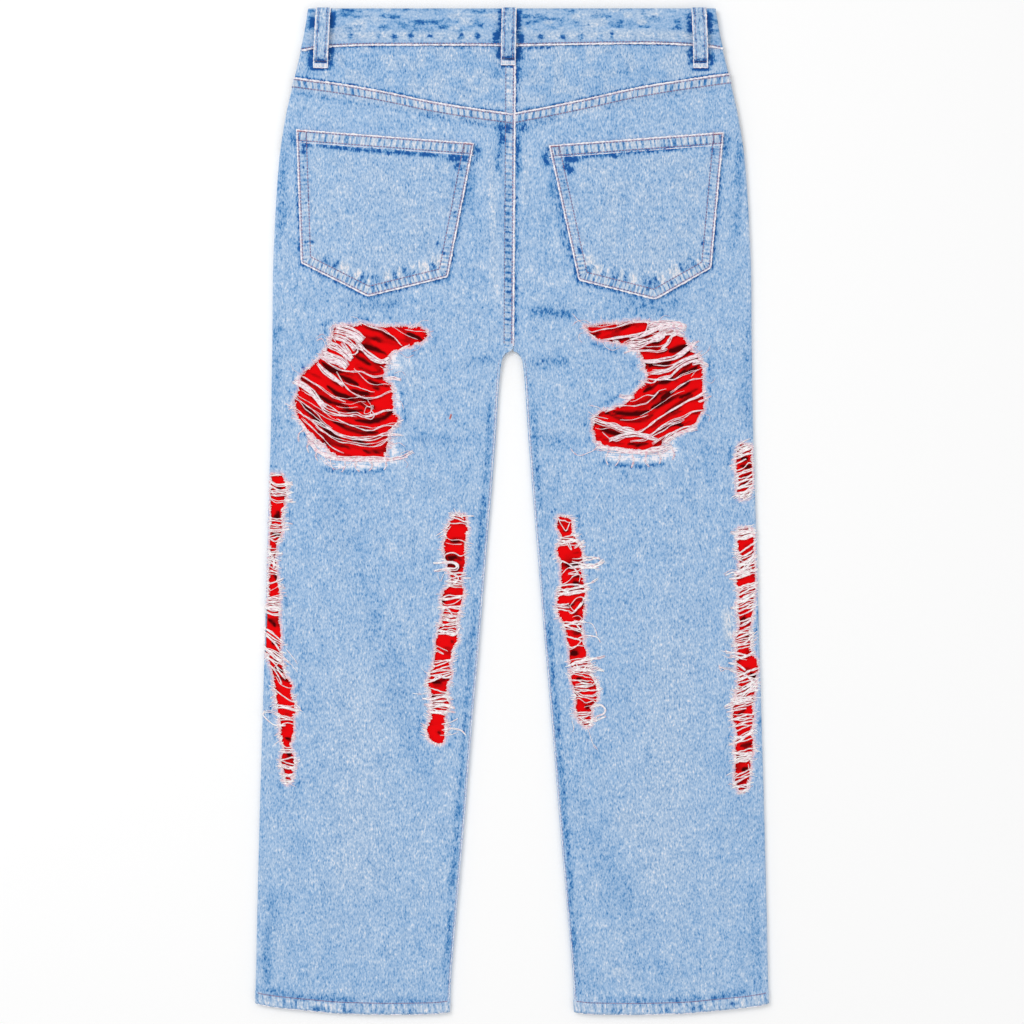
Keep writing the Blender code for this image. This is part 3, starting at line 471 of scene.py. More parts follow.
def twillDenim(name, look):
    finish = {"Roughness": 0.92, "Specular IOR Level": 0.25, "Sheen Weight": 0.08, "Sheen Roughness": 0.6}
    made, tree, shader = newMaterial(name, finish)
    place = addNode(tree, "TexCoord", out="Object")
    grains = []
    # Each grain is bump length across and along the warp in millimetres, and the detail in it.
    for across, along, detail in look["grains"]:
        spot = addNode(tree, "Mapping", {"Scale": perMetre(across, along)}, {"Vector": place})
        noise = {"Scale": 1.0, "Detail": detail, "Roughness": 0.6}
        grains.append(addNode(tree, "TexNoise", noise, {"Vector": spot}))
    first, *others = look["grainDepth"]
    base = look["tone"] - 0.5 * sum(look["grainDepth"])
    tone = addNode(tree, "Math", {1: first, 2: base}, {0: grains[0]}, operation="MULTIPLY_ADD")
    for grain, depth in zip(grains[1:3], others):
        tone = addNode(tree, "Math", {1: depth}, {0: grain, 2: tone}, operation="MULTIPLY_ADD")
    along, over, strip, shade, worn, fray, blush = [
        addNode(tree, "Attribute", out="Fac", attribute_name=mark)
        for mark in ("along", "over", "strip", "shade", "worn", "fray", "blush")
    ]
    # Puckers between two rows of stitches: pale ridges and blue hollows, one after the other.
    slant = addNode(tree, "Math", {1: look["slant"]}, {0: over, 2: along}, operation="MULTIPLY_ADD")
    turn = addNode(tree, "Math", {1: 1 / look["pucker"]}, {0: slant}, operation="MULTIPLY")
    uneven = addNode(tree, "TexNoise", {"Scale": 0.8, "Detail": 1.0}, {"W": turn}, noise_dimensions="1D")
    swing = addNode(tree, "Math", {1: 0.9}, {0: uneven, 2: turn}, operation="MULTIPLY_ADD")
    swing = addNode(tree, "Math", {1: fullTurn}, {0: swing}, operation="MULTIPLY")
    block = addNode(tree, "Math", {}, {0: swing}, operation="SINE")
    block = addNode(
        tree, "MapRange", {"From Min": -0.9, "From Max": 0.2}, {"Value": block}, interpolation_type="SMOOTHSTEP"
    )
    ridge = addNode(
        tree, "Math", {1: look["ridge"] - look["hollow"], 2: look["hollow"]}, {0: block},
        operation="MULTIPLY_ADD",
    )
    lowEdge = addNode(
        tree, "MapRange", {"From Min": 0.8, "From Max": 2.6}, {"Value": over}, interpolation_type="SMOOTHSTEP"
    )
    highEdge = addNode(
        tree, "MapRange", {"From Min": 10.0, "From Max": 8.4}, {"Value": over}, interpolation_type="SMOOTHSTEP"
    )
    inStrip = addNode(tree, "Math", {}, {0: lowEdge, 1: highEdge}, operation="MULTIPLY")
    inStrip = addNode(tree, "Math", {}, {0: inStrip, 1: strip}, operation="MULTIPLY")
    tone = addNode(tree, "Math", {}, {0: ridge, 1: inStrip, 2: tone}, operation="MULTIPLY_ADD")
    # Indigo left in the hollows beside seams, ragged where the stones didn't reach; the same mark also carries
    # painted shade in creases, under raised edges and round the rips.
    ragged = addNode(
        tree, "MapRange", {"From Min": 0.30, "From Max": 0.62, "To Min": -1.15, "To Max": -0.25},
        {"Value": grains[3]},
    )
    tone = addNode(tree, "Math", {}, {0: ragged, 1: shade, 2: tone}, operation="MULTIPLY_ADD")
    rubbed = addNode(
        tree, "MapRange", {"From Min": 0.3, "From Max": 0.65, "To Min": 0.14, "To Max": 0.40},
        {"Value": grains[0]},
    )
    tone = addNode(tree, "Math", {}, {0: rubbed, 1: worn, 2: tone}, operation="MULTIPLY_ADD")
    # Raw edges: bared white weft that lies across the leg.
    weftScale = (1000 / 7.0, 1000 / 1.1, 1000 / 1.1)
    weftSpot = addNode(tree, "Mapping", {"Scale": weftScale}, {"Vector": place})
    weft = addNode(tree, "TexNoise", {"Scale": 1.0, "Detail": 2.0}, {"Vector": weftSpot})
    bared = addNode(
        tree, "MapRange", {"From Min": 0.36, "From Max": 0.56, "To Min": 0.10, "To Max": 0.75}, {"Value": weft}
    )
    tone = addNode(tree, "Math", {}, {0: bared, 1: fray, 2: tone}, operation="MULTIPLY_ADD")
    colour = addNode(tree, "ValToRGB", {}, {"Fac": tone})
    setRamp(colour, look["colours"])
    # Where cloth is rubbed to the core its blue is greyer.
    cast = addNode(tree, "Math", {}, {0: inStrip, 1: block}, operation="MULTIPLY")
    cast = addNode(tree, "Math", {}, {0: cast, 1: worn}, operation="MAXIMUM")
    clear = addNode(tree, "Math", {0: 1.0}, {1: shade}, operation="SUBTRACT", use_clamp=True)
    cast = addNode(tree, "Math", {}, {0: cast, 1: clear}, operation="MULTIPLY")
    colour = addNode(tree, "HueSaturation", {"Saturation": 0.76, "Value": 0.91}, {"Fac": cast, "Color": colour})
    # The red cloth shows faintly through the thinned edge of a rip.
    thin = addNode(
        tree, "MapRange", {"From Min": 0.35, "From Max": 0.6, "To Min": 0.35, "To Max": 1.0}, {"Value": weft}
    )
    thin = addNode(tree, "Math", {}, {0: thin, 1: blush}, operation="MULTIPLY")
    colour = addNode(
        tree, "Mix", out=2, data_type="RGBA", values={7: linear("#E9838B")}, links={0: thin, 6: colour}
    )
    tree.links.new(colour, shader.inputs["Base Color"])
    # Twill lines 0.8 mm apart would be too fine to show, so they are drawn 1.3 mm apart.
    twill = {"Scale": 1000 / 1.3 / fullTurn, "Distortion": 0.8, "Detail": 1.0, "Detail Scale": 2.0}
    lines = addNode(tree, "TexWave", twill, {"Vector": place}, wave_type="BANDS", bands_direction="DIAGONAL")
    rough = addNode(tree, "Math", {1: 0.35}, {0: lines, 2: grains[2]}, operation="MULTIPLY_ADD")
    bump = addNode(tree, "Bump", {"Strength": look["bump"], "Distance": 0.0006}, {"Height": rough})
    tree.links.new(bump, shader.inputs["Normal"])
    return made


denimLook = {
    "grains": [(1.7, 4.0, 1.0), (9.0, 17.0, 2.0), (1.15, 2.4, 1.0), (3.4, 5.5, 3.0)],
    "grainDepth": [0.88, 0.34, 0.74],
    "tone": 0.53,
    "pucker": 6.6,  # from one ridge to the next
    "slant": 0.12,
    "hollow": -0.24,
    "ridge": 0.17,
    "bump": 0.35,
    "colours": washedIndigo,
}
stoneWashedDenim = twillDenim("stoneWashedDenim", denimLook)
bandLook = dict(
    denimLook, grains=[(2.6, 2.4, 2.0), (13.0, 5.0, 3.0), (1.2, 1.7, 1.0), (6.0, 3.5, 3.0)],
    grainDepth=[0.80, 0.40, 0.50], tone=0.52,
)
blotchedBandDenim = twillDenim("blotchedBandDenim", bandLook)
# Inside the folded band the same cloth is hardly rubbed, so it looks an even mid blue.
insideLook = dict(bandLook, colours=[(0.0, "#7FA8D2"), (0.5, "#94B6DB"), (1.0, "#BFD3EA")])
insideBandDenim = twillDenim("insideBandDenim", insideLook)
# The reverse of the twill is mostly undyed weft, so it looks a greyer, paler blue.
reverseLook = dict(denimLook, colours=[(0.0, "#7F9CBF"), (0.5, "#B4C6DB"), (1.0, "#DFE6EE")], bump=0.3)
denimReverse = twillDenim("denimReverse", reverseLook)
panelDenims, bandDenims = [stoneWashedDenim, denimReverse], [blotchedBandDenim, insideBandDenim]


def mottled(name, finish, across, along, detail, stops):
    # A material whose colour drifts between two tints, in spots of a real size.
    made, tree, shader = newMaterial(name, finish)
    place = addNode(tree, "TexCoord", out="Object")
    spot = addNode(tree, "Mapping", {"Scale": perMetre(across, along)}, {"Vector": place})
    tint = addNode(tree, "TexNoise", {"Scale": 1.0, "Detail": detail}, {"Vector": spot})
    colour = addNode(tree, "ValToRGB", {}, {"Fac": tint})
    setRamp(colour, stops)
    tree.links.new(colour, shader.inputs["Base Color"])
    return made


def spunCotton(name, pale, tinted, across, along):
    # Loose or sewn cotton thread: matt, with a slow change of tint along it.
    finish = {"Roughness": 0.85, "Specular IOR Level": 0.3, "Sheen Weight": 0.15}
    return mottled(name, finish, across, along, 2.0, [(0.36, tinted), (0.56, pale)])


# Undyed weft, tinted by the red behind it, and the same where more of it lies over the denim.
baredWeft = spunCotton("baredWeft", "#FCF5F8", "#EABECA", 3.4, 1.8)
bleachedWeft = spunCotton("bleachedWeft", "#FFFFFF", "#EFCFD7", 3.4, 1.8)
# Seam edges rubbed back to white cotton.
rubbedFold = spunCotton("rubbedFold", "#FFFBFD", "#D6CDDE", 2.4, 2.4)
# Faded red-brown thread, which looks mauve over the blue.
mauveTopstitch = spunCotton("mauveTopstitch", "#A48FAC", "#6C6292", 5.0, 5.0)
# Bar tacks: the densest thread, so the least faded.
redBarTack = spunCotton("redBarTack", "#E08E8C", "#B8605F", 2.0, 2.0)


def plainWovenRed():
    # Bright red plain-woven cotton: matt, with painted shade, deep maroon, where it is folded away from the
    # light.
    made, tree, shader = newMaterial("plainWovenRed", {"Roughness": 0.92, "Specular IOR Level": 0.06})
    place = addNode(tree, "TexCoord", out="Object")
    spot = addNode(tree, "Mapping", {"Scale": perMetre(7.0, 4.0)}, {"Vector": place})
    mottle = addNode(tree, "TexNoise", {"Scale": 1.0, "Detail": 3.0}, {"Vector": spot})
    fold = addNode(tree, "Attribute", out="Fac", attribute_name="fold")
    dark = addNode(tree, "Math", {1: 0.35, 2: -0.17}, {0: mottle}, operation="MULTIPLY_ADD")
    dark = addNode(tree, "Math", {}, {0: fold, 1: dark}, operation="ADD")
    colour = addNode(tree, "ValToRGB", {}, {"Fac": dark})
    setRamp(colour, [(0.0, "#EC060C"), (0.28, "#DE060B"), (0.55, "#9E0609"), (0.85, "#4A0204")])
    tree.links.new(colour, shader.inputs["Base Color"])
    # Threads of the plain weave are 0.4 mm apart, drawn 1.0 mm apart to show.
    plainWeave = {"Scale": 1000 / 1.0 / fullTurn, "Distortion": 0.6}
    weave = addNode(tree, "TexMagic", plainWeave, {"Vector": place}, turbulence_depth=1)
    bump = addNode(tree, "Bump", {"Strength": 0.25, "Distance": 0.0003}, {"Height": weave})
    tree.links.new(bump, shader.inputs["Normal"])
    return made


redPlainCotton = plainWovenRed()


# Die-cast brass, tumbled to an aged finish: a warm dull metal with darker hollows.
brassFinish = {"Metallic": 1.0, "Roughness": 0.38}
agedBrass = mottled("agedBrass", brassFinish, 5 / 3, 5 / 3, 4.0, [(0.35, "#6F5A40"), (0.65, "#A98D66")])
print("materials made")

# The outline of each hole through the denim, as across and down by turns.
ripOutlines = {
    "thighLeft": [
        -149, 316, -137, 319, -121, 320, -106, 318, -92, 320, -85, 321, -85, 328, -88, 333, -96, 336, -105, 339,
        -114, 342, -121, 344, -123, 350, -124, 356, -127, 363, -130, 370, -126, 373, -120, 376, -120, 386, -118,
        396, -119, 404, -115, 409, -113, 413, -117, 417, -121, 420, -124, 427, -123, 435, -126, 442, -126, 449,
        -138, 450, -150, 449, -163, 450, -176, 448, -184, 441, -190, 434, -197, 428, -206, 420, -213, 411, -217,
        401, -216, 390, -213, 380, -212, 370, -206, 363, -197, 356, -189, 348, -184, 341, -181, 334, -179, 326,
        -177, 319, -168, 317, -158, 318,
    ],
    "thighRight": [
        72, 319, 88, 317, 106, 316, 124, 313, 140, 316, 152, 320, 167, 325, 172, 331, 175, 337, 182, 346, 190,
        355, 191, 368, 190, 384, 192, 393, 191, 401, 188, 407, 185, 412, 181, 417, 174, 421, 167, 425, 158, 430,
        150, 435, 148, 441, 136, 442, 120, 441, 104, 440, 92, 438, 84, 434, 82, 426, 82, 417, 83, 410, 86, 405,
        98, 402, 112, 397, 120, 389, 127, 381, 133, 375, 136, 369, 133, 359, 131, 351, 126, 343, 119, 336, 104,
        334, 90, 332, 83, 330, 79, 327,
    ],
}
# The narrow rips down the legs: down, left edge, right edge.
ripRows = {
    "innerLeft": [
        507, -58, -47, 513, -61, -45, 521, -65, -44, 529, -67, -46, 537, -68, -47, 545, -68, -47, 553, -65, -47,
        560, -64, -48, 566, -61, -50, 577, -61, -51, 582, -68, -48, 588, -70, -47, 593, -71, -50, 600, -68, -53,
        609, -69, -54, 617, -72, -56, 625, -74, -55, 633, -76, -54, 641, -76, -60, 649, -77, -60, 657, -78, -63,
        665, -82, -60, 673, -85, -64, 681, -82, -65, 689, -80, -65, 697, -80, -62, 705, -80, -66, 713, -82, -67,
        721, -86, -67, 729, -84, -67, 735, -78, -70,
    ],
    "innerRight": [
        509, 46, 57, 515, 45, 61, 521, 46, 60, 527, 48, 61, 532, 50, 63, 537, 46, 68, 545, 45, 70, 553, 48, 71,
        561, 50, 68, 569, 49, 70, 577, 50, 73, 585, 47, 73, 593, 45, 72, 601, 45, 72, 609, 47, 71, 615, 52, 69,
        622, 54, 70, 630, 54, 70, 638, 57, 72, 646, 57, 74, 654, 58, 75, 661, 60, 78, 669, 58, 80, 677, 61, 85,
        685, 63, 86, 693, 64, 84, 700, 63, 80, 708, 65, 79, 714, 69, 79, 718, 72, 77,
    ],
    "outerLeft": [
        467, -240, -230, 474, -241, -226, 482, -241, -225, 490, -241.5, -226, 498, -241.5, -229, 510, -241,
        -230, 520, -241.5, -229, 528, -242, -231, 536, -242, -235, 552, -242, -236, 566, -242.5, -235, 574,
        -243, -234, 584, -243, -232, 596, -243.5, -233, 604, -256, -233, 614, -256, -232, 630, -256, -231, 640,
        -256, -231, 647, -243, -232, 654, -242, -230, 662, -240, -228, 670, -238, -225, 677, -237, -219, 686,
        -236, -222, 694, -235, -217, 702, -234, -216, 709, -232, -219, 718, -231, -218, 728, -231, -219, 735,
        -229, -221, 742, -227, -221, 750, -231, -217, 758, -229, -218, 768, -227, -220, 775, -226, -222,
    ],
    "outerRightTop": [
        437, 228, 238, 443, 225, 239, 451, 224, 240, 460, 223, 240.5, 467, 225, 240, 476, 226, 240, 484, 225,
        238, 491, 227, 234,
    ],
    "outerRight": [
        521, 227, 240, 528, 225, 242, 536, 225, 242, 544, 226, 241.5, 552, 228, 241, 560, 227, 243, 568, 224,
        243, 576, 225, 243.5, 584, 227, 242, 592, 226, 242, 600, 224, 241, 608, 226, 239, 616, 227, 238, 624,
        225, 237, 632, 224, 239, 640, 224, 238, 648, 226, 240, 654, 224, 246, 662, 225, 246, 670, 227, 243, 680,
        226, 243, 690, 223, 241, 700, 221, 240, 708, 220, 242, 716, 223, 240, 724, 225, 238, 732, 223, 241, 740,
        223, 241, 750, 224, 239, 760, 223, 238, 770, 222, 237, 778, 224, 235, 783, 227, 232,
    ],
}
dice = np.random.default_rng(29)


def raggedOutline(points, step, amount):
    # A closed outline with small uneven teeth.
    line = alongLine(list(points) + [points[0]], step, 1)[:-1]
    teeth = dice.normal(0, amount, len(line))
    teeth = 0.6 * teeth + 0.4 * np.roll(teeth, 1)
    return line + sideways(np.roll(line, -1, axis=0) - np.roll(line, 1, axis=0)) * teeth[:, None]


for ripName, rows in ripRows.items():
    down, left, right = np.reshape(rows, (-1, 3)).T
    ripOutlines[ripName] = np.column_stack([np.r_[left, right[::-1]], np.r_[down, down[::-1]]])
ripEdges = {}
for ripName, points in ripOutlines.items():
    wide = "thigh" in ripName
    ripEdges[ripName] = raggedOutline(np.reshape(points, (-1, 2)), 2.2 if wide else 1.8, 0.7 if wide else 0.55)


def ripsOf(side):
    return [name for name in ripEdges if ("Left" in name) == (side < 0)]


def nearRips(side, across, down, reach):
    # 1 at the edge of a rip, fading to 0 at reach.
    close = np.zeros(np.shape(across))
    for name in ripsOf(side):
        edge = ripEdges[name]
        near = nearLine(across, down, edge, reach)
        gap, _ = awayFrom(across[near], down[near], np.vstack([edge, edge[:1]]))
        close[near] = np.maximum(close[near], 1 - gap / reach)
    return np.clip(close, 0, 1)


def rubbedPatches(across, down):
    # Soft greyer patches, where the stones rubbed longest.
    return ease((soft(across, down, 8, 41) - 0.42) / 0.25)


backPanel = {
    "cells": (100, 345),
    # Blue left in the cloth, and painted shade along the creases, beside the raised centre seam, round the
    # pockets and round the rips.
    "shade": {
        -1: [
            (0.9, 9, -16, 118, -8, 121, 0, 120), (0.9, 7, -12, 122, -10, 131, -8, 140),
            (0.5, 6, -13, 138, -13, 165), (0.55, 5, -52, 111, -40, 115, -24, 117),
            (0.6, 5, -96, 105, -84, 107, -74, 109, -62, 113), (0.45, 4, -144, 97, -132, 99),
            (0.5, 5, -214, 86, -200, 88), (0.3, 4, -200, 88, -144, 97, -96, 105),
            (0.35, 7, -36, 139, -40, 160, -43, 200), (0.75, 6, -34, 138, -36, 152),
            (0.5, 6, -219, 126, -217, 140), (0.3, 9, -228, 130, -230, 190, -231, 240),
            (0.75, 4.2, -215, 124, -211, 256, -144, 289.5, -64, 270, -37.5, 137),
            (0.28, 12, -170, 292, -145, 298, -110, 296), (0.42, 6, -5, 160, -4, 220, -2, 300, -1, 338),
            (0.22, 10, -102, 434, -80, 430, -60, 434), (0.8, 3.2, -211, 357, -206, 363),
            (0.6, 3, -152, 310, -142, 312), (0.65, 3.4, -190, 461, -165, 464, -140, 463, -120, 461),
            (0.5, 3, -212, 414, -204, 430, -196, 444), (0.5, 3, -112, 378, -109, 392, -108, 408),
            (0.5, 3, -100, 344, -88, 340), (0.5, 3, -190, 318, -182, 312), (0.16, 10, -60, 434, -30, 430),
            (0.3, 9, -14, 350, -30, 352, -50, 356), (0.4, 5, -21, 380, -24, 440, -30, 520),
            (0.55, 6, -27, 480, -31, 520, -34, 560),
            (0.45, 5, -36, 590, -44, 680, -52, 780, -60, 880, -66, 985),
            (0.13, 24, -190, 458, -168, 522, -138, 602, -112, 682, -80, 792),
            (0.25, 9, -238, 880, -244, 940, -246, 985), (0.2, 9, -236, 300, -236, 380, -237, 450),
            (0.45, 6, -252, 980, -225, 987, -190, 990, -150, 992), (0.7, 4, -226, 995, -214, 997),
            (0.7, 4, -202, 999, -186, 1000), (0.5, 4, -170, 1001, -158, 1001), (0.5, 4, -140, 1003, -126, 1003),
            (0.3, 6, -140, 992, -100, 993, -76, 991), (0.5, 4, -108, 1002, -96, 1002),
        ],
        1: [
            (0.9, 8, 6, 115, 10, 121, 16, 119), (0.8, 6, 4, 122, 5, 140, 5, 170),
            (0.5, 5, 4, 170, 3.5, 240, 2, 338), (0.5, 5, 20, 116, 34, 113, 46, 110),
            (0.4, 5, 90, 100, 112, 96, 124, 93), (0.32, 4, 124, 93, 160, 87, 214, 80),
            (0.85, 6, 33, 142, 35, 160), (0.45, 5, 38, 165, 47, 210, 55, 250), (0.55, 6, 216, 128, 214, 150),
            (0.3, 8, 228, 120, 226, 180, 222, 240),
            (0.75, 4.2, 211.5, 127, 199, 261, 143, 292.5, 66, 273.5, 36.4, 140),
            (0.55, 9, 20, 303, 42, 305, 66, 308), (0.3, 12, 110, 296, 142, 300, 170, 292),
            (0.22, 11, 14, 432, 32, 430, 60, 436), (0.7, 3.4, 86, 452, 104, 457, 132, 459, 152, 456),
            (0.5, 3, 76, 334, 92, 340, 108, 346), (0.5, 3, 108, 384, 100, 392, 86, 398),
            (0.5, 3, 76, 428, 74, 438), (0.5, 3, 196, 352, 199, 372), (0.5, 3, 196, 404, 188, 418, 172, 432),
            (0.45, 3, 126, 308, 150, 308, 170, 312), (0.3, 9, 12, 352, 34, 356, 60, 352),
            (0.4, 5, 20, 380, 24, 440, 30, 520), (0.5, 5, 34, 580, 42, 680, 51, 780, 59, 880, 65, 985),
            (0.2, 14, 190, 436, 198, 452, 202, 470), (0.14, 24, 54, 772, 88, 842, 133, 922),
            (0.25, 9, 240, 880, 245, 940, 247, 985), (0.2, 9, 236, 300, 236, 360, 237, 430),
            (0.4, 6, 90, 991, 150, 993, 200, 989, 246, 981), (0.6, 4, 214, 996, 226, 994),
            (0.6, 4, 176, 1000, 190, 999), (0.5, 4, 146, 1002, 158, 1002), (0.5, 4, 96, 1002, 110, 1003),
        ],
    },
    # Warp worn away, so that pale weft shows beside the rips.
    "bared": {
        -1: [
            (0.9, 8, -121, 343, -117, 352, -119, 362), (0.7, 6, -110, 338, -96, 335, -88, 334),
            (0.8, 6, -117, 378, -114, 390, -113, 404), (0.7, 6, -121, 430, -118, 440, -118, 448),
            (1, 6, -214, 408, -202, 426, -190, 440, -182, 446), (0.7, 5, -216, 372, -212, 366),
            (0.7, 5, -176, 452, -150, 455, -130, 455, -110, 452),
            (0.8, 4, -196, 451, -175, 458, -150, 459, -125, 457),
        ],
        1: [
            (1.1, 9, 150, 442, 158, 441, 164, 446), (0.7, 6, 112, 390, 120, 386),
            (0.8, 6, 150, 314, 164, 315, 172, 320), (0.8, 7, 118, 340, 124, 346), (0.6, 6, 186, 346, 190, 352),
            (0.6, 5, 188, 408, 178, 422, 162, 430), (0.5, 6, 84, 414, 80, 424),
            (0.8, 6, 88, 447, 110, 450, 140, 451, 162, 446),
        ],
    },
    # Cloth rubbed paler.
    "worn": {
        -1: [
            (0.55, 3, -214, 83, -165, 90, -120, 98, -85, 105.5, -40, 113, -10, 118),
            (0.3, 40, -150, 850, -180, 862), (0.25, 60, -160, 640, -150, 900), (0.3, 20, -120, 350, -90, 380),
            (0.35, 8, -22, 140, -19, 200, -17, 300),
        ],
        1: [
            (0.55, 3, 10, 118, 40, 111, 85, 101.5, 120, 93.5, 165, 86, 214, 78.5),
            (0.4, 14, 105, 958, 108, 968), (0.3, 36, 105, 800, 140, 830), (0.25, 60, 160, 600, 150, 900),
            (0.95, 9, 214, 600, 216, 618, 217, 634), (0.3, 8, 14, 140, 14, 200),
        ],
    },
}


def backPanelMarks(side, own, down):
    across = side * own
    yoke = down - seamDown("yokeSeam", side, across)
    centre = own - innerEdge(1, side, down)
    hem = seamDown("hemLow", side, across) - down
    marks = np.stack([yoke, np.abs(across), yoke < 16])
    if side < 0:
        onCentre = (centre < 13) & (yoke > 10.3) & (down < garment["crotch"])
        marks = np.where(onCentre, [centre, down, 0 * down + 0.75], marks)
    over, along, strip = np.where(hem < 30, [0.85 * hem, across + 500, 0 * down + 0.6], marks)
    close = nearRips(side, across, down, 5.5)
    uneven = soft(across, down, 7, 5)
    # Painted shadow: a ragged ring of dark dashes just outside each rip, where its curled edge shades the
    # cloth.
    ripShadowDashes = nearRips(side, across, down, 12.0)
    ripShadowDashes = ease(1 - np.abs(ripShadowDashes - 0.40) / 0.25) * ease((soft(across, down, 5, 8) - 0.6) / 0.2)
    bared = strokes(across, down, backPanel["bared"][side])
    turned = 0.2 * ease((2.2 - hem) / 2) * (hem > -1)
    return {
        "over": over,
        "along": along,
        "strip": strip,
        "shade": most(strokes(across, down, backPanel["shade"][side]), turned, 0.45 * ripShadowDashes),
        "worn": most(
            strokes(across, down, backPanel["worn"][side]), 0.3 * ease((12 - hem) / 2),
            0.14 * rubbedPatches(across, down),
        ),
        "fray": most(close ** (1.2 + 2.2 * uneven), bared),
        "blush": 0.75 * nearRips(side, across, down, 3.4),
    }


def fellLift(over):
    # The step at each edge of a felled strip.
    return garment["fellRise"] * ease((over + 0.6) / 0.8) * ease((garment["fellWidth"] + 0.9 - over) / 1.2)


def puckers(along, over, depth):
    # Small ridges and hollows across a felled strip.
    wave = soft(along, 0 * along, 4.2, 3) - 0.5
    return depth * wave * ease((over - 0.5) / 2.5) * ease((garment["fellWidth"] - over) / 2.5)


def backPanelPlace(side, own, down):
    across = side * own
    yoke = down - seamDown("yokeSeam", side, across)
    lift = fellLift(yoke) + puckers(np.abs(across), yoke, 0.9)
    if side < 0:
        centre = own - innerEdge(1, side, down)
        above = ease((garment["crotch"] - down) / 20)
        lift = np.maximum(lift, fellLift(centre + 1.5) * above) + puckers(down, centre, 0.6) * above
    hem = seamDown("hemLow", side, across) - down
    turned = 0.5 * ease((13.0 - hem) / 1.5)
    roping = 0.6 * (soft(across - 0.8 * hem, 0 * hem, 4.0, 6) - 0.5) * ease((13.5 - hem) / 3)
    curled = 0.7 * (soft(across, down, 9, 4) - 0.35) * nearRips(side, across, down, 12.0) ** 2
    return onCloth(1, side, own, down, lift + turned + roping + curled)


for word, side in sides.items():
    holes = [[(side * across, down) for across, down in ripEdges[name]] for name in ripsOf(side)]
    plan = partial(
        panelPlan, 1, side, 300, lambda across: seamDown("yokeSeam", side, across) + garment["seamGap"],
        partial(seamDown, "hemLow", side),
    )
    panel = cutOut(planSheet(*backPanel["cells"], plan), holes)
    layCloth(
        "leg_back_" + word, panel, partial(backPanelPlace, side), partial(backPanelMarks, side),
        panelDenims, ["back_panel_" + word], garment["denim"],
    )
print("back panels laid")

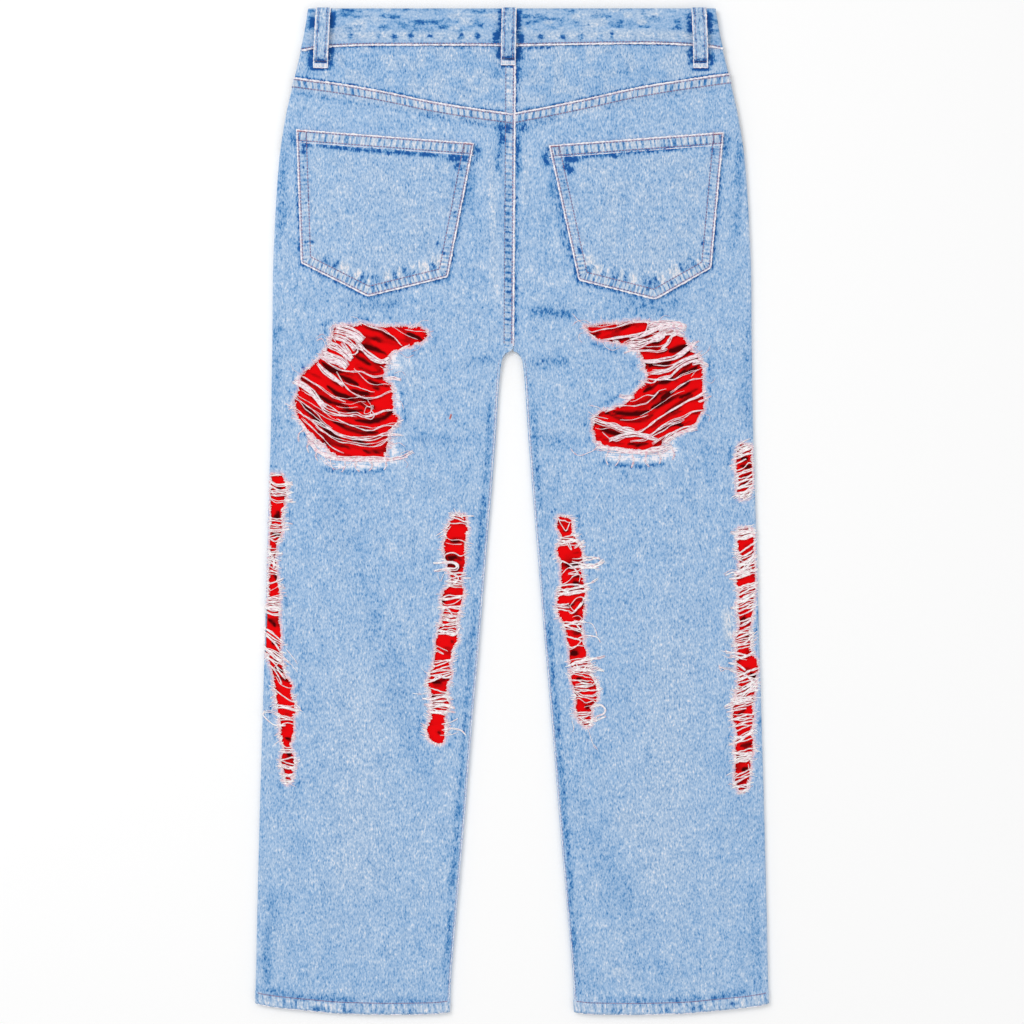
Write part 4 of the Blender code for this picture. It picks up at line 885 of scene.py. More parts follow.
# Bared weft threads: they lie over the denim, cross the holes and sag a little towards the red.
# A row is a thread's thickness and number of strands, then its route, as across and down by turns.
looseThreads = {
    "thighLeft": [
        (0.45, 1, -217, 387, -207, 402, -190, 416, -174, 428, -150, 430, -127, 427, -108, 428),
        (0.45, 1, -210, 382, -198, 389, -182, 397, -172, 406, -155, 409),
        (0.45, 1, -215, 389, -200, 401, -182, 411, -162, 416, -137, 421, -122, 416, -110, 415),
        (0.45, 1, -207, 369, -194, 377, -182, 387, -164, 391, -147, 388),
        (0.75, 9, -176, 321, -166, 323, -156, 327, -149, 333),
        (0.75, 8, -190, 347, -181, 350, -172, 354, -165, 360),
        (0.7, 6, -184, 336, -176, 339, -168, 345, -160, 352),
        (0.65, 5, -178, 329, -170, 331, -162, 336, -156, 342), (0.55, 5, -170, 335, -165, 342, -160, 351),
        (0.6, 5, -153, 336, -146, 344, -138, 350, -130, 354, -126, 352, -121, 350),
        (0.6, 4, -194, 356, -188, 364, -180, 370, -172, 375, -168, 378),
        (0.65, 6, -218, 373, -208, 378, -200, 384, -193, 393, -187, 400),
        (0.6, 4, -128, 371, -118, 370, -111, 372), (0.6, 4, -211, 414, -204, 427, -194, 438),
        (0.7, 3, -205, 428, -197, 440, -186, 447, -172, 451, -150, 452, -126, 453, -104, 449),
        (0.5, 1, -196, 331, -190, 326, -185, 328, -184, 336, -187, 345),
        (0.5, 1, -195, 333, -189, 330, -186, 335, -186, 342), (0.5, 1, -183, 322, -178, 316, -172, 317),
        (0.5, 1, -181, 320, -180, 328, -176, 334), (0.5, 1, -176, 315, -174, 320, -178, 326),
        (0.5, 2, -170, 331, -162, 329, -155, 334, -153, 341, -157, 347),
        (0.62, 2, -189, 350, -181, 357, -171, 362, -161, 364, -150, 364, -143, 367.5, -138, 369, -130, 367.5,
        -124, 367), (0.6, 3, -194, 355, -189, 361, -178, 369, -171, 376),
        (0.55, 2, -175, 364, -168, 376, -161, 384, -150, 389, -140, 390, -132.5, 388, -122, 383, -115, 382),
        (0.5, 1, -158, 361, -150, 369, -143, 376, -135, 378, -130, 376, -122, 377),
        (0.5, 1, -168, 374, -155, 379, -145, 383, -137, 384),
        (0.45, 2, -211, 368, -206, 371, -194, 378, -187, 384, -178, 390, -166, 394),
        (0.62, 3, -220, 374, -215, 376, -201, 383, -194, 392, -187, 401, -178, 405, -166, 407, -155, 406, -148,
        410, -140, 408, -128, 403, -116, 402),
        (0.5, 1, -222, 384, -212, 390, -200, 397, -190, 403, -181, 410, -175, 412),
        (0.5, 1, -220, 388, -204, 397, -194, 406, -187, 415, -180, 420),
        (0.55, 2, -175, 411, -166, 415, -155, 419, -145, 422, -138, 422, -127, 417, -118, 418, -111, 419),
        (0.55, 2, -217, 402, -212, 404, -200, 412, -190, 422, -181, 430, -172, 435, -161, 436, -149, 439.5,
        -139, 440, -131, 438, -122, 431, -114, 430),
        (0.55, 3, -203, 411, -198, 413, -183, 421, -175, 426, -162, 430, -149, 432, -138, 431, -126, 426, -110,
        427), (0.45, 1, -196, 418, -186, 424, -172, 430, -160, 433, -146, 435, -134, 434, -120, 428),
        (0.5, 2, -155, 314, -150, 316, -138, 320, -130, 321, -117, 330, -110, 338),
        (0.5, 1, -121, 318, -112, 323, -104, 328, -94, 332), (0.5, 1, -107, 322, -85, 324, -78, 323),
        (0.6, 3, -156, 340, -150, 342, -143, 348, -135, 352, -126, 355, -119, 356),
        (0.5, 1, -168, 334, -155, 338, -154, 344, -159, 348, -166, 346),
        (0.45, 1, -150, 394, -143, 399, -138, 396, -140, 404, -148, 406, -146, 398, -138, 401),
        (0.45, 1, -144, 392, -139, 399, -142, 408, -134, 405),
        (0.4, 1, -147, 410, -140, 412, -136, 407, -141, 402),
        (0.55, 4, -204, 433, -194, 443, -181, 449, -166, 451, -143, 451, -122, 452, -110, 450, -99, 443),
        (0.5, 1, -200, 439, -187, 455, -177, 461, -168, 460, -160, 455),
        (0.5, 1, -190, 446, -184, 454, -176, 456), (0.45, 1, -109, 450, -103, 456, -106, 460),
        (0.45, 1, -112, 446, -104, 442, -97, 446), (0.5, 2, -226, 396, -214, 402, -207, 409),
        (0.5, 2, -190, 341, -180, 347, -176, 355, -170, 360),
        (0.45, 2, -185, 330, -176, 338, -170, 346, -163, 356), (0.45, 1, -132, 358, -126, 362, -118, 361),
        (0.45, 2, -210, 410, -200, 419, -188, 430, -178, 440, -168, 445),
        (0.4, 1, -170, 395, -160, 396, -152, 393, -146, 394), (0.45, 1, -176, 398, -164, 400, -154, 399),
        (0.4, 1, -150, 318, -154, 310, -161, 309), (0.4, 1, -96, 318, -90, 312, -83, 313),
        (0.4, 1, -88, 334, -92, 341, -100, 344), (0.4, 1, -112, 345, -104, 350, -98, 347),
        (0.4, 1, -118, 366, -110, 363, -106, 368), (0.4, 1, -118, 390, -110, 394, -108, 402),
        (0.4, 1, -122, 438, -112, 434, -106, 439), (0.4, 1, -212, 366, -219, 362, -221, 356),
        (0.45, 2, -180, 448, -182, 456, -178, 462), (0.45, 2, -168, 451, -166, 458, -170, 464),
        (0.45, 2, -155, 452, -157, 459, -152, 464), (0.45, 2, -141, 452, -139, 459, -143, 463),
        (0.45, 2, -128, 450, -125, 457, -128, 462), (0.45, 2, -206, 420, -214, 427, -213, 434),
        (0.45, 2, -198, 430, -206, 438, -203, 445), (0.45, 2, -190, 438, -197, 447, -194, 453),
    ],
    "thighRight": [
        (0.6, 9, 136, 320, 148, 318, 160, 318, 174, 320), (0.55, 5, 140, 329, 152, 326, 164, 324, 172, 328),
        (0.6, 4, 118, 332, 132, 326, 146, 320, 158, 317, 172, 318),
        (0.6, 8, 115, 338, 126, 337, 138, 333, 148, 329, 152, 324),
        (0.6, 3, 149, 341, 156, 336, 159, 328, 168, 325),
        (0.65, 4, 131, 354, 146, 352, 160, 350, 170, 344, 180, 338, 184, 333),
        (0.6, 4, 137, 366, 148, 364, 158, 361, 166, 355, 176, 350, 189, 347),
        (0.6, 3, 135, 371, 147, 372, 159, 369, 167, 360, 176, 354, 191, 352),
        (0.6, 4, 79, 410, 90, 414, 100, 417, 112, 421, 122, 423),
        (0.6, 5, 97, 432, 110, 428, 122, 426, 134, 428, 145, 432),
        (0.7, 5, 83, 440, 96, 441, 112, 443, 130, 445, 148, 443, 160, 438),
        (0.55, 6, 151, 435, 160, 428, 172, 422, 185, 420), (0.55, 3, 178, 392, 186, 388, 194, 383),
        (0.5, 3, 186, 394, 192, 392, 199, 388), (0.55, 4, 180, 356, 190, 355, 196, 358),
        (0.55, 5, 107, 388, 114, 390, 122, 389),
        (0.5, 2, 72, 321, 79, 325, 90, 322, 102, 320, 119, 315, 127, 314, 137, 315, 135, 325, 119, 328, 103,
        330, 90, 332), (0.45, 1, 73, 320, 90, 320, 104, 316, 112, 315),
        (0.62, 3, 95, 332, 112, 329, 127, 327, 136, 325, 150, 318, 163, 315, 173, 319),
        (0.55, 2, 112, 336, 119, 333, 137, 333, 147, 333, 153, 328, 151, 325),
        (0.5, 1, 130, 339, 147, 339, 154, 337, 156, 332, 167, 325),
        (0.62, 3, 112, 345, 119, 343, 137, 343, 145, 344, 155, 341),
        (0.66, 3, 128, 354, 137, 353, 156, 352, 167, 348, 177, 339, 182, 336, 187, 333),
        (0.5, 1, 140, 357, 158, 358, 168, 353, 183, 346, 190, 343),
        (0.5, 2, 128, 373, 132, 374, 141, 376, 147, 370, 159, 367, 165, 360, 176, 355, 190, 350),
        (0.45, 1, 140, 362, 158, 361, 166, 357),
        (0.5, 1, 118, 394, 124, 392, 135, 387, 142, 388, 146, 383, 154, 381),
        (0.5, 2, 104, 398, 112, 398, 122, 399, 135, 395, 142, 389, 146, 384),
        (0.6, 3, 76, 410, 81, 412, 91, 416, 102, 416, 112, 421, 127, 424, 137, 418, 145, 411, 158, 402, 168,
        397, 176, 392, 188, 388, 196, 386), (0.5, 1, 83, 420, 89, 422, 99, 420, 109, 425, 124, 425, 140, 417),
        (0.5, 2, 133, 428, 140, 426, 150, 418, 163, 411, 170, 410, 179, 404, 192, 402),
        (0.45, 1, 90, 424, 96, 430, 105, 434, 114, 429),
        (0.58, 4, 80, 432, 84, 435, 91, 440, 105, 443, 124, 444, 145, 441, 152, 438),
        (0.5, 1, 58, 440, 62, 446, 68, 448, 75, 445, 81, 443, 88, 436),
        (0.55, 3, 140, 436, 147, 431, 159, 424, 170, 425, 184, 420), (0.45, 1, 179, 369, 184, 362, 192, 360),
        (0.45, 1, 76, 397, 86, 400, 94, 404, 104, 401), (0.45, 2, 158, 385, 168, 378, 180, 372, 194, 370),
        (0.5, 2, 150, 372, 162, 372, 172, 366, 186, 362),
        (0.45, 1, 128, 408, 140, 403, 152, 394, 160, 388, 172, 383), (0.45, 1, 108, 412, 122, 412, 136, 407),
        (0.45, 1, 76, 404, 84, 409, 96, 411), (0.5, 2, 118, 434, 132, 432, 146, 424, 158, 416, 172, 412),
        (0.45, 1, 172, 330, 180, 336, 188, 345), (0.4, 1, 76, 318, 69, 315, 63, 309, 60, 306),
        (0.4, 1, 80, 316, 74, 312, 66, 313, 60, 318), (0.4, 1, 92, 318, 91, 313, 88, 309),
        (0.4, 1, 76, 326, 68, 325, 65, 330, 70, 335), (0.4, 1, 90, 334, 94, 340, 101, 343, 108, 340),
        (0.4, 1, 186, 350, 196, 344, 198, 338), (0.4, 1, 190, 372, 200, 376, 203, 370),
        (0.4, 1, 188, 404, 198, 408, 196, 414), (0.4, 1, 120, 316, 116, 310, 110, 311),
        (0.4, 1, 146, 314, 152, 307, 158, 309), (0.45, 2, 96, 444, 93, 451, 96, 457),
        (0.45, 2, 108, 446, 107, 453, 103, 458), (0.45, 2, 120, 446, 122, 454, 119, 460),
        (0.45, 2, 134, 446, 133, 454, 137, 459), (0.45, 2, 146, 444, 149, 451, 147, 456),
        (0.45, 2, 158, 438, 163, 446, 160, 452),
    ],
    "innerLeft": [
        (0.55, 1, -66, 529, -60, 532, -52, 531, -44, 534, -38, 536), (0.55, 1, -66, 535, -58, 537, -50, 536),
        (0.6, 1, -68, 552, -66, 546, -56, 545, -52, 549, -46, 546, -42, 544),
        (0.7, 3, -79, 555, -68, 554, -58, 554, -53, 557, -55, 561, -66, 561, -78, 563),
        (0.5, 1, -74, 566, -73, 572, -71, 574, -69, 568, -66, 562),
        (0.6, 2, -58, 566, -52, 570, -56, 576, -60, 574), (0.5, 2, -52, 569, -46, 570, -41, 570),
        (0.55, 2, -70, 590, -64, 587, -56, 588, -50, 587, -46, 591),
        (0.5, 1, -71, 593, -66, 597, -58, 596, -50, 590), (0.55, 2, -68, 599, -62, 603, -58, 609, -64, 606),
        (0.55, 2, -69, 610, -62, 613, -56, 612, -51, 611), (0.55, 2, -71, 616, -62, 617, -53, 615),
        (0.6, 2, -74, 622, -66, 625, -58, 628, -52, 620), (0.55, 1, -74, 626, -66, 623, -60, 621, -54, 624),
        (0.6, 1, -76, 637, -70, 640, -64, 643), (0.55, 2, -79, 640, -74, 643, -68, 646),
        (0.55, 2, -84, 671, -78, 672, -73, 666, -66, 670, -60, 667), (0.5, 2, -82, 664, -72, 662, -60, 662),
        (0.5, 1, -99, 685, -90, 686, -82, 683), (0.6, 3, -90, 690, -80, 691, -70, 688, -60, 690),
        (0.6, 3, -88, 696, -76, 698, -66, 697, -57, 700), (0.55, 3, -86, 703, -76, 705, -66, 703, -56, 704),
        (0.5, 2, -70, 716, -62, 714, -54, 710), (0.5, 2, -70, 722, -60, 720, -50, 722, -46, 727),
        (0.5, 1, -72, 727, -62, 727, -54, 724), (0.5, 2, -62, 504, -56, 507, -50, 508, -38, 508),
        (0.5, 1, -58, 500, -54, 506, -48, 511), (0.45, 1, -76, 528, -69, 524, -62, 516),
        (0.45, 1, -74, 530, -66, 526, -61, 518),
    ],
    "innerRight": [
        (0.5, 1, 46, 510, 50, 518, 54, 524, 58, 514), (0.6, 2, 44, 531, 52, 534, 60, 531, 68, 534),
        (0.55, 1, 54, 533, 57, 540, 60, 543, 57, 534), (0.55, 2, 62, 540, 68, 536, 72, 532),
        (0.6, 2, 48, 552, 56, 555, 64, 562, 66, 566, 56, 566), (0.5, 1, 50, 566, 56, 560, 62, 558),
        (0.65, 4, 66, 556, 76, 558, 86, 557, 92, 552), (0.6, 3, 68, 550, 78, 549, 88, 551),
        (0.55, 1, 50, 576, 56, 573, 60, 568, 68, 566, 67, 574),
        (0.6, 3, 44, 579, 54, 582, 66, 578, 80, 574, 86, 570), (0.6, 3, 46, 585, 56, 587, 68, 584, 78, 580),
        (0.6, 1, 56, 596, 62, 604, 70, 597, 72, 588, 64, 590, 58, 598),
        (0.6, 2, 56, 602, 60, 606, 66, 600, 70, 594), (0.55, 1, 60, 609, 66, 607, 70, 610, 66, 614, 62, 612),
        (0.55, 2, 54, 618, 62, 620, 70, 622, 64, 616, 72, 614), (0.5, 2, 70, 614, 80, 615, 84, 622, 85, 628),
        (0.5, 2, 66, 630, 76, 627, 86, 629, 88, 634), (0.55, 1, 54, 636, 60, 640, 66, 637, 72, 638),
        (0.55, 1, 56, 642, 64, 640, 70, 633, 62, 630), (0.55, 3, 62, 654, 74, 652, 86, 650, 93, 648),
        (0.55, 3, 60, 660, 72, 658, 84, 660, 92, 663), (0.55, 1, 64, 654, 66, 660, 70, 662, 76, 656),
        (0.5, 2, 56, 668, 64, 664, 58, 662), (0.55, 2, 64, 678, 72, 680, 82, 676, 86, 672, 78, 666),
        (0.55, 2, 62, 683, 70, 688, 80, 688, 88, 684),
        (0.5, 1, 62, 692, 68, 690, 74, 696, 82, 692, 84, 697, 72, 699),
        (0.55, 3, 78, 700, 88, 696, 94, 700, 92, 706, 84, 708), (0.55, 3, 66, 708, 74, 713, 84, 712, 94, 708),
        (0.5, 1, 66, 712, 70, 718, 76, 722, 78, 728, 82, 738, 84, 741), (0.45, 1, 82, 736, 86, 742),
        (0.45, 1, 60, 712, 62, 720, 60, 724),
    ],
    "outerLeft": [
        (0.6, 3, -242, 472, -236, 477, -228, 477, -219, 474),
        (0.55, 2, -242, 477, -234, 483, -226, 482, -221, 479),
        (0.55, 2, -242, 483, -234, 488, -227, 487, -219, 484),
        (0.55, 2, -242, 490, -235, 494, -227, 493, -216, 494),
        (0.55, 2, -242, 516, -234, 518, -226, 514, -219, 516),
        (0.6, 3, -243, 522, -235, 524, -228, 522, -222, 521), (0.5, 2, -242, 530, -236, 534, -230, 529),
        (0.55, 2, -243, 547, -236, 545, -229, 546), (0.6, 3, -243, 542, -237, 552, -238, 560),
        (0.55, 2, -244, 576, -236, 574, -228, 570), (0.5, 1, -244, 584, -236, 580, -230, 576),
        (0.55, 2, -245, 590, -238, 592, -229, 590), (0.6, 4, -247, 598, -238, 602, -230, 600),
        (0.55, 3, -247, 603, -238, 607, -230, 606), (0.5, 1, -247, 620, -240, 624, -234, 630),
        (0.55, 2, -247, 626, -238, 634, -232, 642), (0.6, 2, -247, 640, -238, 642, -230, 648, -222, 654),
        (0.55, 2, -245, 648, -238, 654, -232, 664, -226, 671),
        (0.5, 2, -244, 656, -238, 660, -233, 668, -230, 676),
        (0.55, 1, -236, 668, -231, 676, -224, 680, -216, 679),
        (0.6, 1, -236, 682, -229, 686, -222, 692, -216, 694), (0.5, 2, -226, 700, -219, 702, -210, 702),
        (0.62, 2, -220, 711, -231, 708, -239, 704, -246, 703, -249, 706),
        (0.7, 2, -226, 717, -238, 717, -245, 711, -249, 706, -247, 702),
        (0.5, 2, -230, 716, -224, 714, -216, 716), (0.5, 1, -230, 736, -224, 740, -219, 738),
        (0.5, 2, -236, 751, -228, 752, -218, 748, -214, 750), (0.55, 3, -234, 758, -226, 757, -218, 760),
        (0.55, 3, -233, 765, -226, 768, -219, 766), (0.5, 3, -232, 771, -226, 773, -218, 772),
        (0.45, 1, -238, 660, -228, 650, -220, 656, -214, 664), (0.45, 1, -226, 640, -219, 648, -214, 656),
    ],
    "outerRightTop": [
        (0.6, 3, 220, 447, 228, 444, 238, 441), (0.6, 3, 219, 452, 228, 449, 237, 445),
        (0.55, 2, 217, 458, 226, 455, 234, 451), (0.55, 1, 224, 463, 232, 460, 236, 454, 240, 456),
        (0.55, 2, 222, 470, 230, 465, 241, 462), (0.55, 2, 224, 475, 232, 472, 240, 466),
        (0.55, 2, 224, 481, 233, 477, 241, 470), (0.55, 2, 224, 486, 232, 484, 240, 477),
        (0.5, 2, 226, 490, 233, 489, 240, 484), (0.45, 1, 230, 492, 236, 492, 243, 488),
        (0.5, 2, 224, 439, 230, 441, 238, 437),
    ],
    "outerRight": [
        (0.6, 4, 218, 524, 228, 526, 238, 523, 243, 521), (0.6, 4, 222, 529, 232, 531, 241, 527),
        (0.5, 2, 222, 545, 232, 549, 240, 543), (0.5, 1, 224, 550, 232, 554, 237, 550),
        (0.6, 3, 226, 559, 234, 553, 242, 547), (0.6, 3, 222, 566, 232, 561, 240, 551, 245, 547),
        (0.6, 4, 212, 567, 220, 563, 230, 566, 240, 561), (0.6, 3, 217, 571, 228, 570, 238, 566),
        (0.5, 1, 226, 583, 234, 578, 241, 575), (0.55, 2, 224, 588, 232, 583, 244, 579),
        (0.6, 4, 222, 594, 232, 592, 243, 586), (0.6, 3, 218, 600, 228, 598, 236, 594, 243, 592),
        (0.55, 2, 226, 604, 234, 600, 241, 595), (0.55, 2, 225, 608, 234, 605, 242, 600),
        (0.6, 3, 224, 618, 232, 617, 240, 611), (0.55, 2, 222, 625, 230, 622, 238, 618),
        (0.55, 2, 224, 631, 232, 627, 242, 624), (0.55, 2, 224, 636, 231, 636, 238, 630),
        (0.6, 3, 217, 647, 228, 650, 238, 646, 243, 643), (0.6, 3, 216, 655, 226, 657, 233, 662),
        (0.55, 3, 217, 662, 227, 664, 235, 668, 243, 676), (0.55, 2, 226, 671, 234, 668, 241, 670),
        (0.6, 3, 222, 684, 232, 680, 243, 672), (0.6, 4, 218, 692, 228, 690, 238, 682, 245, 676),
        (0.6, 4, 212, 699, 222, 695, 232, 692, 240, 688), (0.5, 2, 214, 704, 224, 702, 234, 700),
        (0.55, 2, 220, 710, 230, 713, 240, 708), (0.55, 2, 224, 718, 232, 714, 242, 712),
        (0.6, 3, 222, 728, 230, 730, 238, 725, 241, 721), (0.55, 2, 216, 737, 226, 734, 234, 728),
        (0.6, 3, 220, 744, 230, 747, 240, 744), (0.6, 3, 224, 752, 233, 753, 239, 749),
        (0.5, 1, 226, 769, 234, 766, 241, 762), (0.5, 1, 236, 756, 237, 763, 242, 766),
        (0.55, 2, 220, 776, 230, 771, 239, 766), (0.55, 3, 224, 785, 232, 784, 238, 778),
        (0.5, 1, 214, 767, 220, 763, 226, 766), (0.5, 2, 206, 658, 214, 661, 222, 660),
        (0.45, 1, 207, 656, 209, 664, 214, 660),
    ],
}

# Red cloth behind each rip. Its folds are dips in the cloth and are also darkened with painted shade.
redBacking = {
    "thighLeft": {
        "node": "backing_thigh_left", "box": (-230, 306, -74, 459), "cells": (78, 76),
        "folds": [
            (0.9, 4, -153, 336, -140, 341, -125, 346), (0.85, 4.5, -157, 348, -149, 352, -140, 358),
            (1, 4.5, -174, 367, -163, 372, -152, 378), (0.9, 3.5, -146, 371, -138, 375, -129, 377),
            (1, 4, -186, 377, -176, 385, -158, 392), (0.9, 4, -193, 388, -182, 394, -163, 399),
            (1, 4.5, -211, 395, -203, 403, -195, 412), (1, 4.5, -191, 416, -184, 423, -175, 429),
            (1, 5, -158, 412, -142, 414, -128, 410, -117, 402), (0.8, 3.5, -105, 325, -97, 329, -90, 332),
            (0.8, 4, -190, 354, -181, 362, -172, 367), (0.6, 3.5, -205, 381, -196, 388, -186, 397),
            (0.7, 3.5, -164, 381, -150, 385, -136, 386), (0.8, 4, -174, 402, -162, 403, -148, 402),
            (0.8, 4, -180, 413, -165, 421, -147, 426, -132, 424), (0.6, 4, -203, 402, -192, 414, -178, 425),
            (0.35, 4, -150, 326, -128, 334, -108, 338), (0.6, 3.5, -152, 360, -140, 365, -128, 363),
            (0.6, 4, -196, 421, -184, 432, -168, 440), (0.5, 5, -150, 442, -138, 444, -124, 441),
        ],
    },
    "thighRight": {
        "node": "backing_thigh_right", "box": (60, 303, 206, 456), "cells": (73, 76),
        "folds": [
            (1.1, 6, 157, 344, 165, 341, 175, 338), (1, 4, 136, 358, 148, 357, 160, 354),
            (1, 5, 146, 375, 154, 374, 161, 370), (0.9, 4, 165, 382, 171, 378, 178, 372),
            (1, 4, 149, 391, 156, 387, 163, 382), (1.1, 4.5, 100, 404, 114, 406, 127, 406, 138, 403),
            (0.9, 4, 139, 400, 146, 398, 153, 393), (1, 3.5, 158, 415, 165, 416, 171, 418),
            (1.1, 5, 88, 420, 98, 424, 110, 427), (0.9, 3.5, 115, 435, 126, 437, 136, 436),
            (0.8, 3.5, 172, 366, 178, 364, 185, 359), (0.8, 3.5, 130, 385, 140, 380, 147, 374),
            (0.8, 3.5, 160, 373, 167, 368, 174, 362), (0.6, 4, 92, 322, 106, 320, 122, 317),
            (0.7, 4, 114, 414, 128, 413, 142, 407), (0.7, 4, 92, 404, 108, 411, 124, 415),
            (0.7, 4, 154, 404, 166, 396, 182, 386), (0.7, 4, 166, 350, 174, 346, 182, 341),
            (0.6, 4, 140, 420, 156, 408, 172, 402), (0.6, 4, 120, 398, 136, 392, 146, 384),
            (0.6, 4, 166, 391, 176, 386, 187, 380), (0.5, 4, 88, 430, 100, 434, 112, 436),
        ],
    },
    "innerLeft": {
        "node": "backing_inner_left", "box": (-98, 496, -37, 746), "cells": (31, 126),
        "folds": [
            (0.9, 4, -62, 533, -52, 534), (0.8, 4, -64, 550, -56, 549), (0.7, 4, -62, 633, -58, 634),
            (0.5, 3, -74, 653, -66, 652), (0.6, 3, -80, 675, -66, 672), (0.8, 4, -75, 723, -71, 726),
            (0.7, 3, -70, 687, -82, 689), (0.6, 3, -72, 594, -66, 592),
        ],
    },
    "innerRight": {
        "node": "backing_inner_right", "box": (38, 503, 94, 728), "cells": (28, 113),
        "folds": [
            (0.7, 4, 50, 522, 56, 523), (0.6, 3, 52, 556, 66, 557), (0.9, 4, 60, 574, 66, 575),
            (0.7, 3, 55, 598, 63, 596), (0.7, 3, 62, 609, 68, 611), (0.9, 5, 58, 645, 66, 646),
            (0.7, 3, 64, 669, 74, 674), (0.9, 5, 73, 698, 77, 700), (0.5, 3, 60, 626, 68, 627),
        ],
    },
    "outerLeft": {
        "node": "backing_outer_left", "box": (-247.5, 464, -206, 784), "cells": (21, 160),
        "folds": [
            (0.9, 4, -236, 481, -230, 481), (0.9, 5, -233, 503, -236, 512), (0.9, 3, -239, 526, -231, 527),
            (0.7, 3, -238, 565, -234, 573), (0.8, 4, -243, 612, -236, 618), (0.9, 5, -241, 634, -234, 636),
            (0.7, 3, -236, 658, -228, 664), (0.8, 3, -236, 668, -222, 674), (0.7, 4, -226, 730, -220, 733),
            (0.8, 4, -224, 746, -220, 747), (0.7, 3, -238, 652, -228, 656),
        ],
    },
    "outerRight": {
        "node": "backing_outer_right", "box": (211, 432, 246.5, 788), "cells": (18, 178),
        "folds": [
            (0.8, 4, 229, 452, 236, 449), (0.9, 4, 228, 458, 240, 458), (0.8, 3, 228, 471, 238, 466),
            (0.8, 3, 227, 479, 238, 473), (0.7, 3, 226, 553, 232, 551), (0.8, 4, 232, 559, 238, 552),
            (0.7, 3, 228, 612, 234, 608), (0.9, 4, 238, 665, 244, 672), (0.7, 3, 226, 707, 234, 701),
            (0.8, 5, 228, 738, 240, 735), (0.8, 4, 230, 762, 236, 760), (0.6, 3, 224, 776, 236, 772),
            (0.7, 3, 230, 632, 240, 625), (0.7, 3, 228, 682, 238, 676),
        ],
    },
}
for name, backing in redBacking.items():
    side = -1 if "Left" in name else 1
    x0, y0, x1, y1 = backing["box"]
    inner, outer = sorted((side * x0, side * x1))

    def backingPlan(u, v, side=side, inner=inner, outer=outer, y0=y0, y1=y1):
        # It stops where the cloth turns over at the sides of the leg.
        down = y0 + (y1 - y0) * v
        start, end = np.maximum(inner, innerEdge(1, side, down) - 0.5), np.minimum(outer, outerEdge(down) + 0.5)
        return start + (end - start) * u, down

    # The taut threads press a soft fold into the red cloth just below each of them, and each fold is darkened
    # with painted shade.
    routes = [np.reshape(route, (-1, 2)) for _, _, *route in looseThreads[name]]
    folds = backing["folds"] + [(0.42, 3.0, route + (0, 2.4)) for route in routes if len(route) > 4]

    def backingMarks(own, down, side=side, folds=folds, name=name):
        shade = strokes(side * own, down, folds, tapered=True)
        slope = 0.4 * own * ("thigh" in name)  # the creases between the folds run with the threads
        # The fold mark is painted shade: dark maroon in each fold and in the creases between the folds.
        return {"fold": shade + 0.45 * ease((soft(0.35 * own, down + slope, 3.5, 15) - 0.5) / 0.4)}

    def backingPlace(own, down, side=side, folds=folds):
        dip = 1.1 * strokes(side * own, down, folds, tapered=True)
        ripple = 0.5 * soft(own, down, 8, 7)
        ground = garment["denim"] + garment["plyGap"]
        return onCloth(1, side, own, down, -ground - dip - ripple)

    layCloth(
        name + "Red", planSheet(*backing["cells"], backingPlan), backingPlace, backingMarks,
        [redPlainCotton], [backing["node"]], garment["redCloth"],
    )
print("red cloth laid")

# Yokes: plain above their seam, with indigo left and painted shade along both edges, where the band and the
# felled seam stand over them, and beside the belt loops.
yoke = {
    "cells": (96, 30),
    "shade": {
        -1: [
            (1.5, 7, -11.5, 38, -11, 53), (1.8, 2.6, -13, 59.2, 5, 59.2), (0.6, 4, -14, 60, -16, 72),
            (0.9, 2.8, -176, 40, -150, 38.5, -100, 38, -40, 39, -16, 40), (1.4, 5.5, -199.5, 38, -200.5, 60),
            (1.4, 6.4, -181.5, 38, -182, 60), (2, 3, -201, 61.6, -182, 61.6), (0.18, 18, -120, 60, -90, 66),
            (0.2, 14, -60, 80, -40, 86),
        ],
        1: [
            (1.5, 7.4, 6, 38, 6.5, 55), (0.8, 5, 7, 58, 6, 76), (0.9, 3, 12, 41, 26, 41, 42, 40),
            (0.9, 2.8, 42, 38.5, 100, 36.5, 150, 37, 176, 39), (1.4, 6.8, 179, 41, 180, 58),
            (2, 3.2, 179, 62, 198, 62), (1.2, 7, 197.5, 46, 198.5, 59), (0.2, 14, 24, 84, 40, 88),
            (0.18, 16, 90, 66, 120, 60),
        ],
    },
}


def yokeMarks(side, own, down):
    across = side * own
    under = seamDown("yokeSeam", side, across) - down
    centre = own - innerEdge(1, side, down)
    # Painted shade just above the yoke seam, where the back panel's felled edge stands over the yoke, and
    # beside the right of the raised centre seam.
    paintedSeamShadow = 0.8 * ease((3.6 - under) / 2.4) * (0.4 + 0.9 * soft(across, down, 8, 9))
    paintedCentreShadow = 0.85 * ease((4.5 - centre) / 3) * (side > 0)
    return {
        "over": centre if side < 0 else 99 + 0 * own,
        "along": down,
        "strip": (0.6 if side < 0 else 0.0) * (centre < 13),
        # The yoke keeps a little more indigo all over.
        "shade": most(strokes(across, down, yoke["shade"][side]), paintedSeamShadow, paintedCentreShadow, 0.08),
        "worn": most(0.5 * ease((11 - centre) / 3) * (side < 0), 0.38 * rubbedPatches(across, down)),
    }


def yokePlace(side, own, down):
    lift = 0.0
    if side < 0:
        centre = own - innerEdge(1, side, down)
        lift = fellLift(centre + 1.5) + puckers(down, centre, 0.5)
    return onCloth(1, side, own, down, lift)


for word, side in sides.items():
    plan = partial(
        panelPlan, 1, side, 60, lambda across: seamDown("bandLow", side, across) + garment["seamGap"],
        lambda across: seamDown("yokeSeam", side, across) - garment["seamGap"],
    )
    layCloth(
        "yoke_cloth_" + word, planSheet(*yoke["cells"], plan), partial(yokePlace, side),
        partial(yokeMarks, side), panelDenims, ["yoke_" + word], garment["denim"],
    )
print("yokes laid")

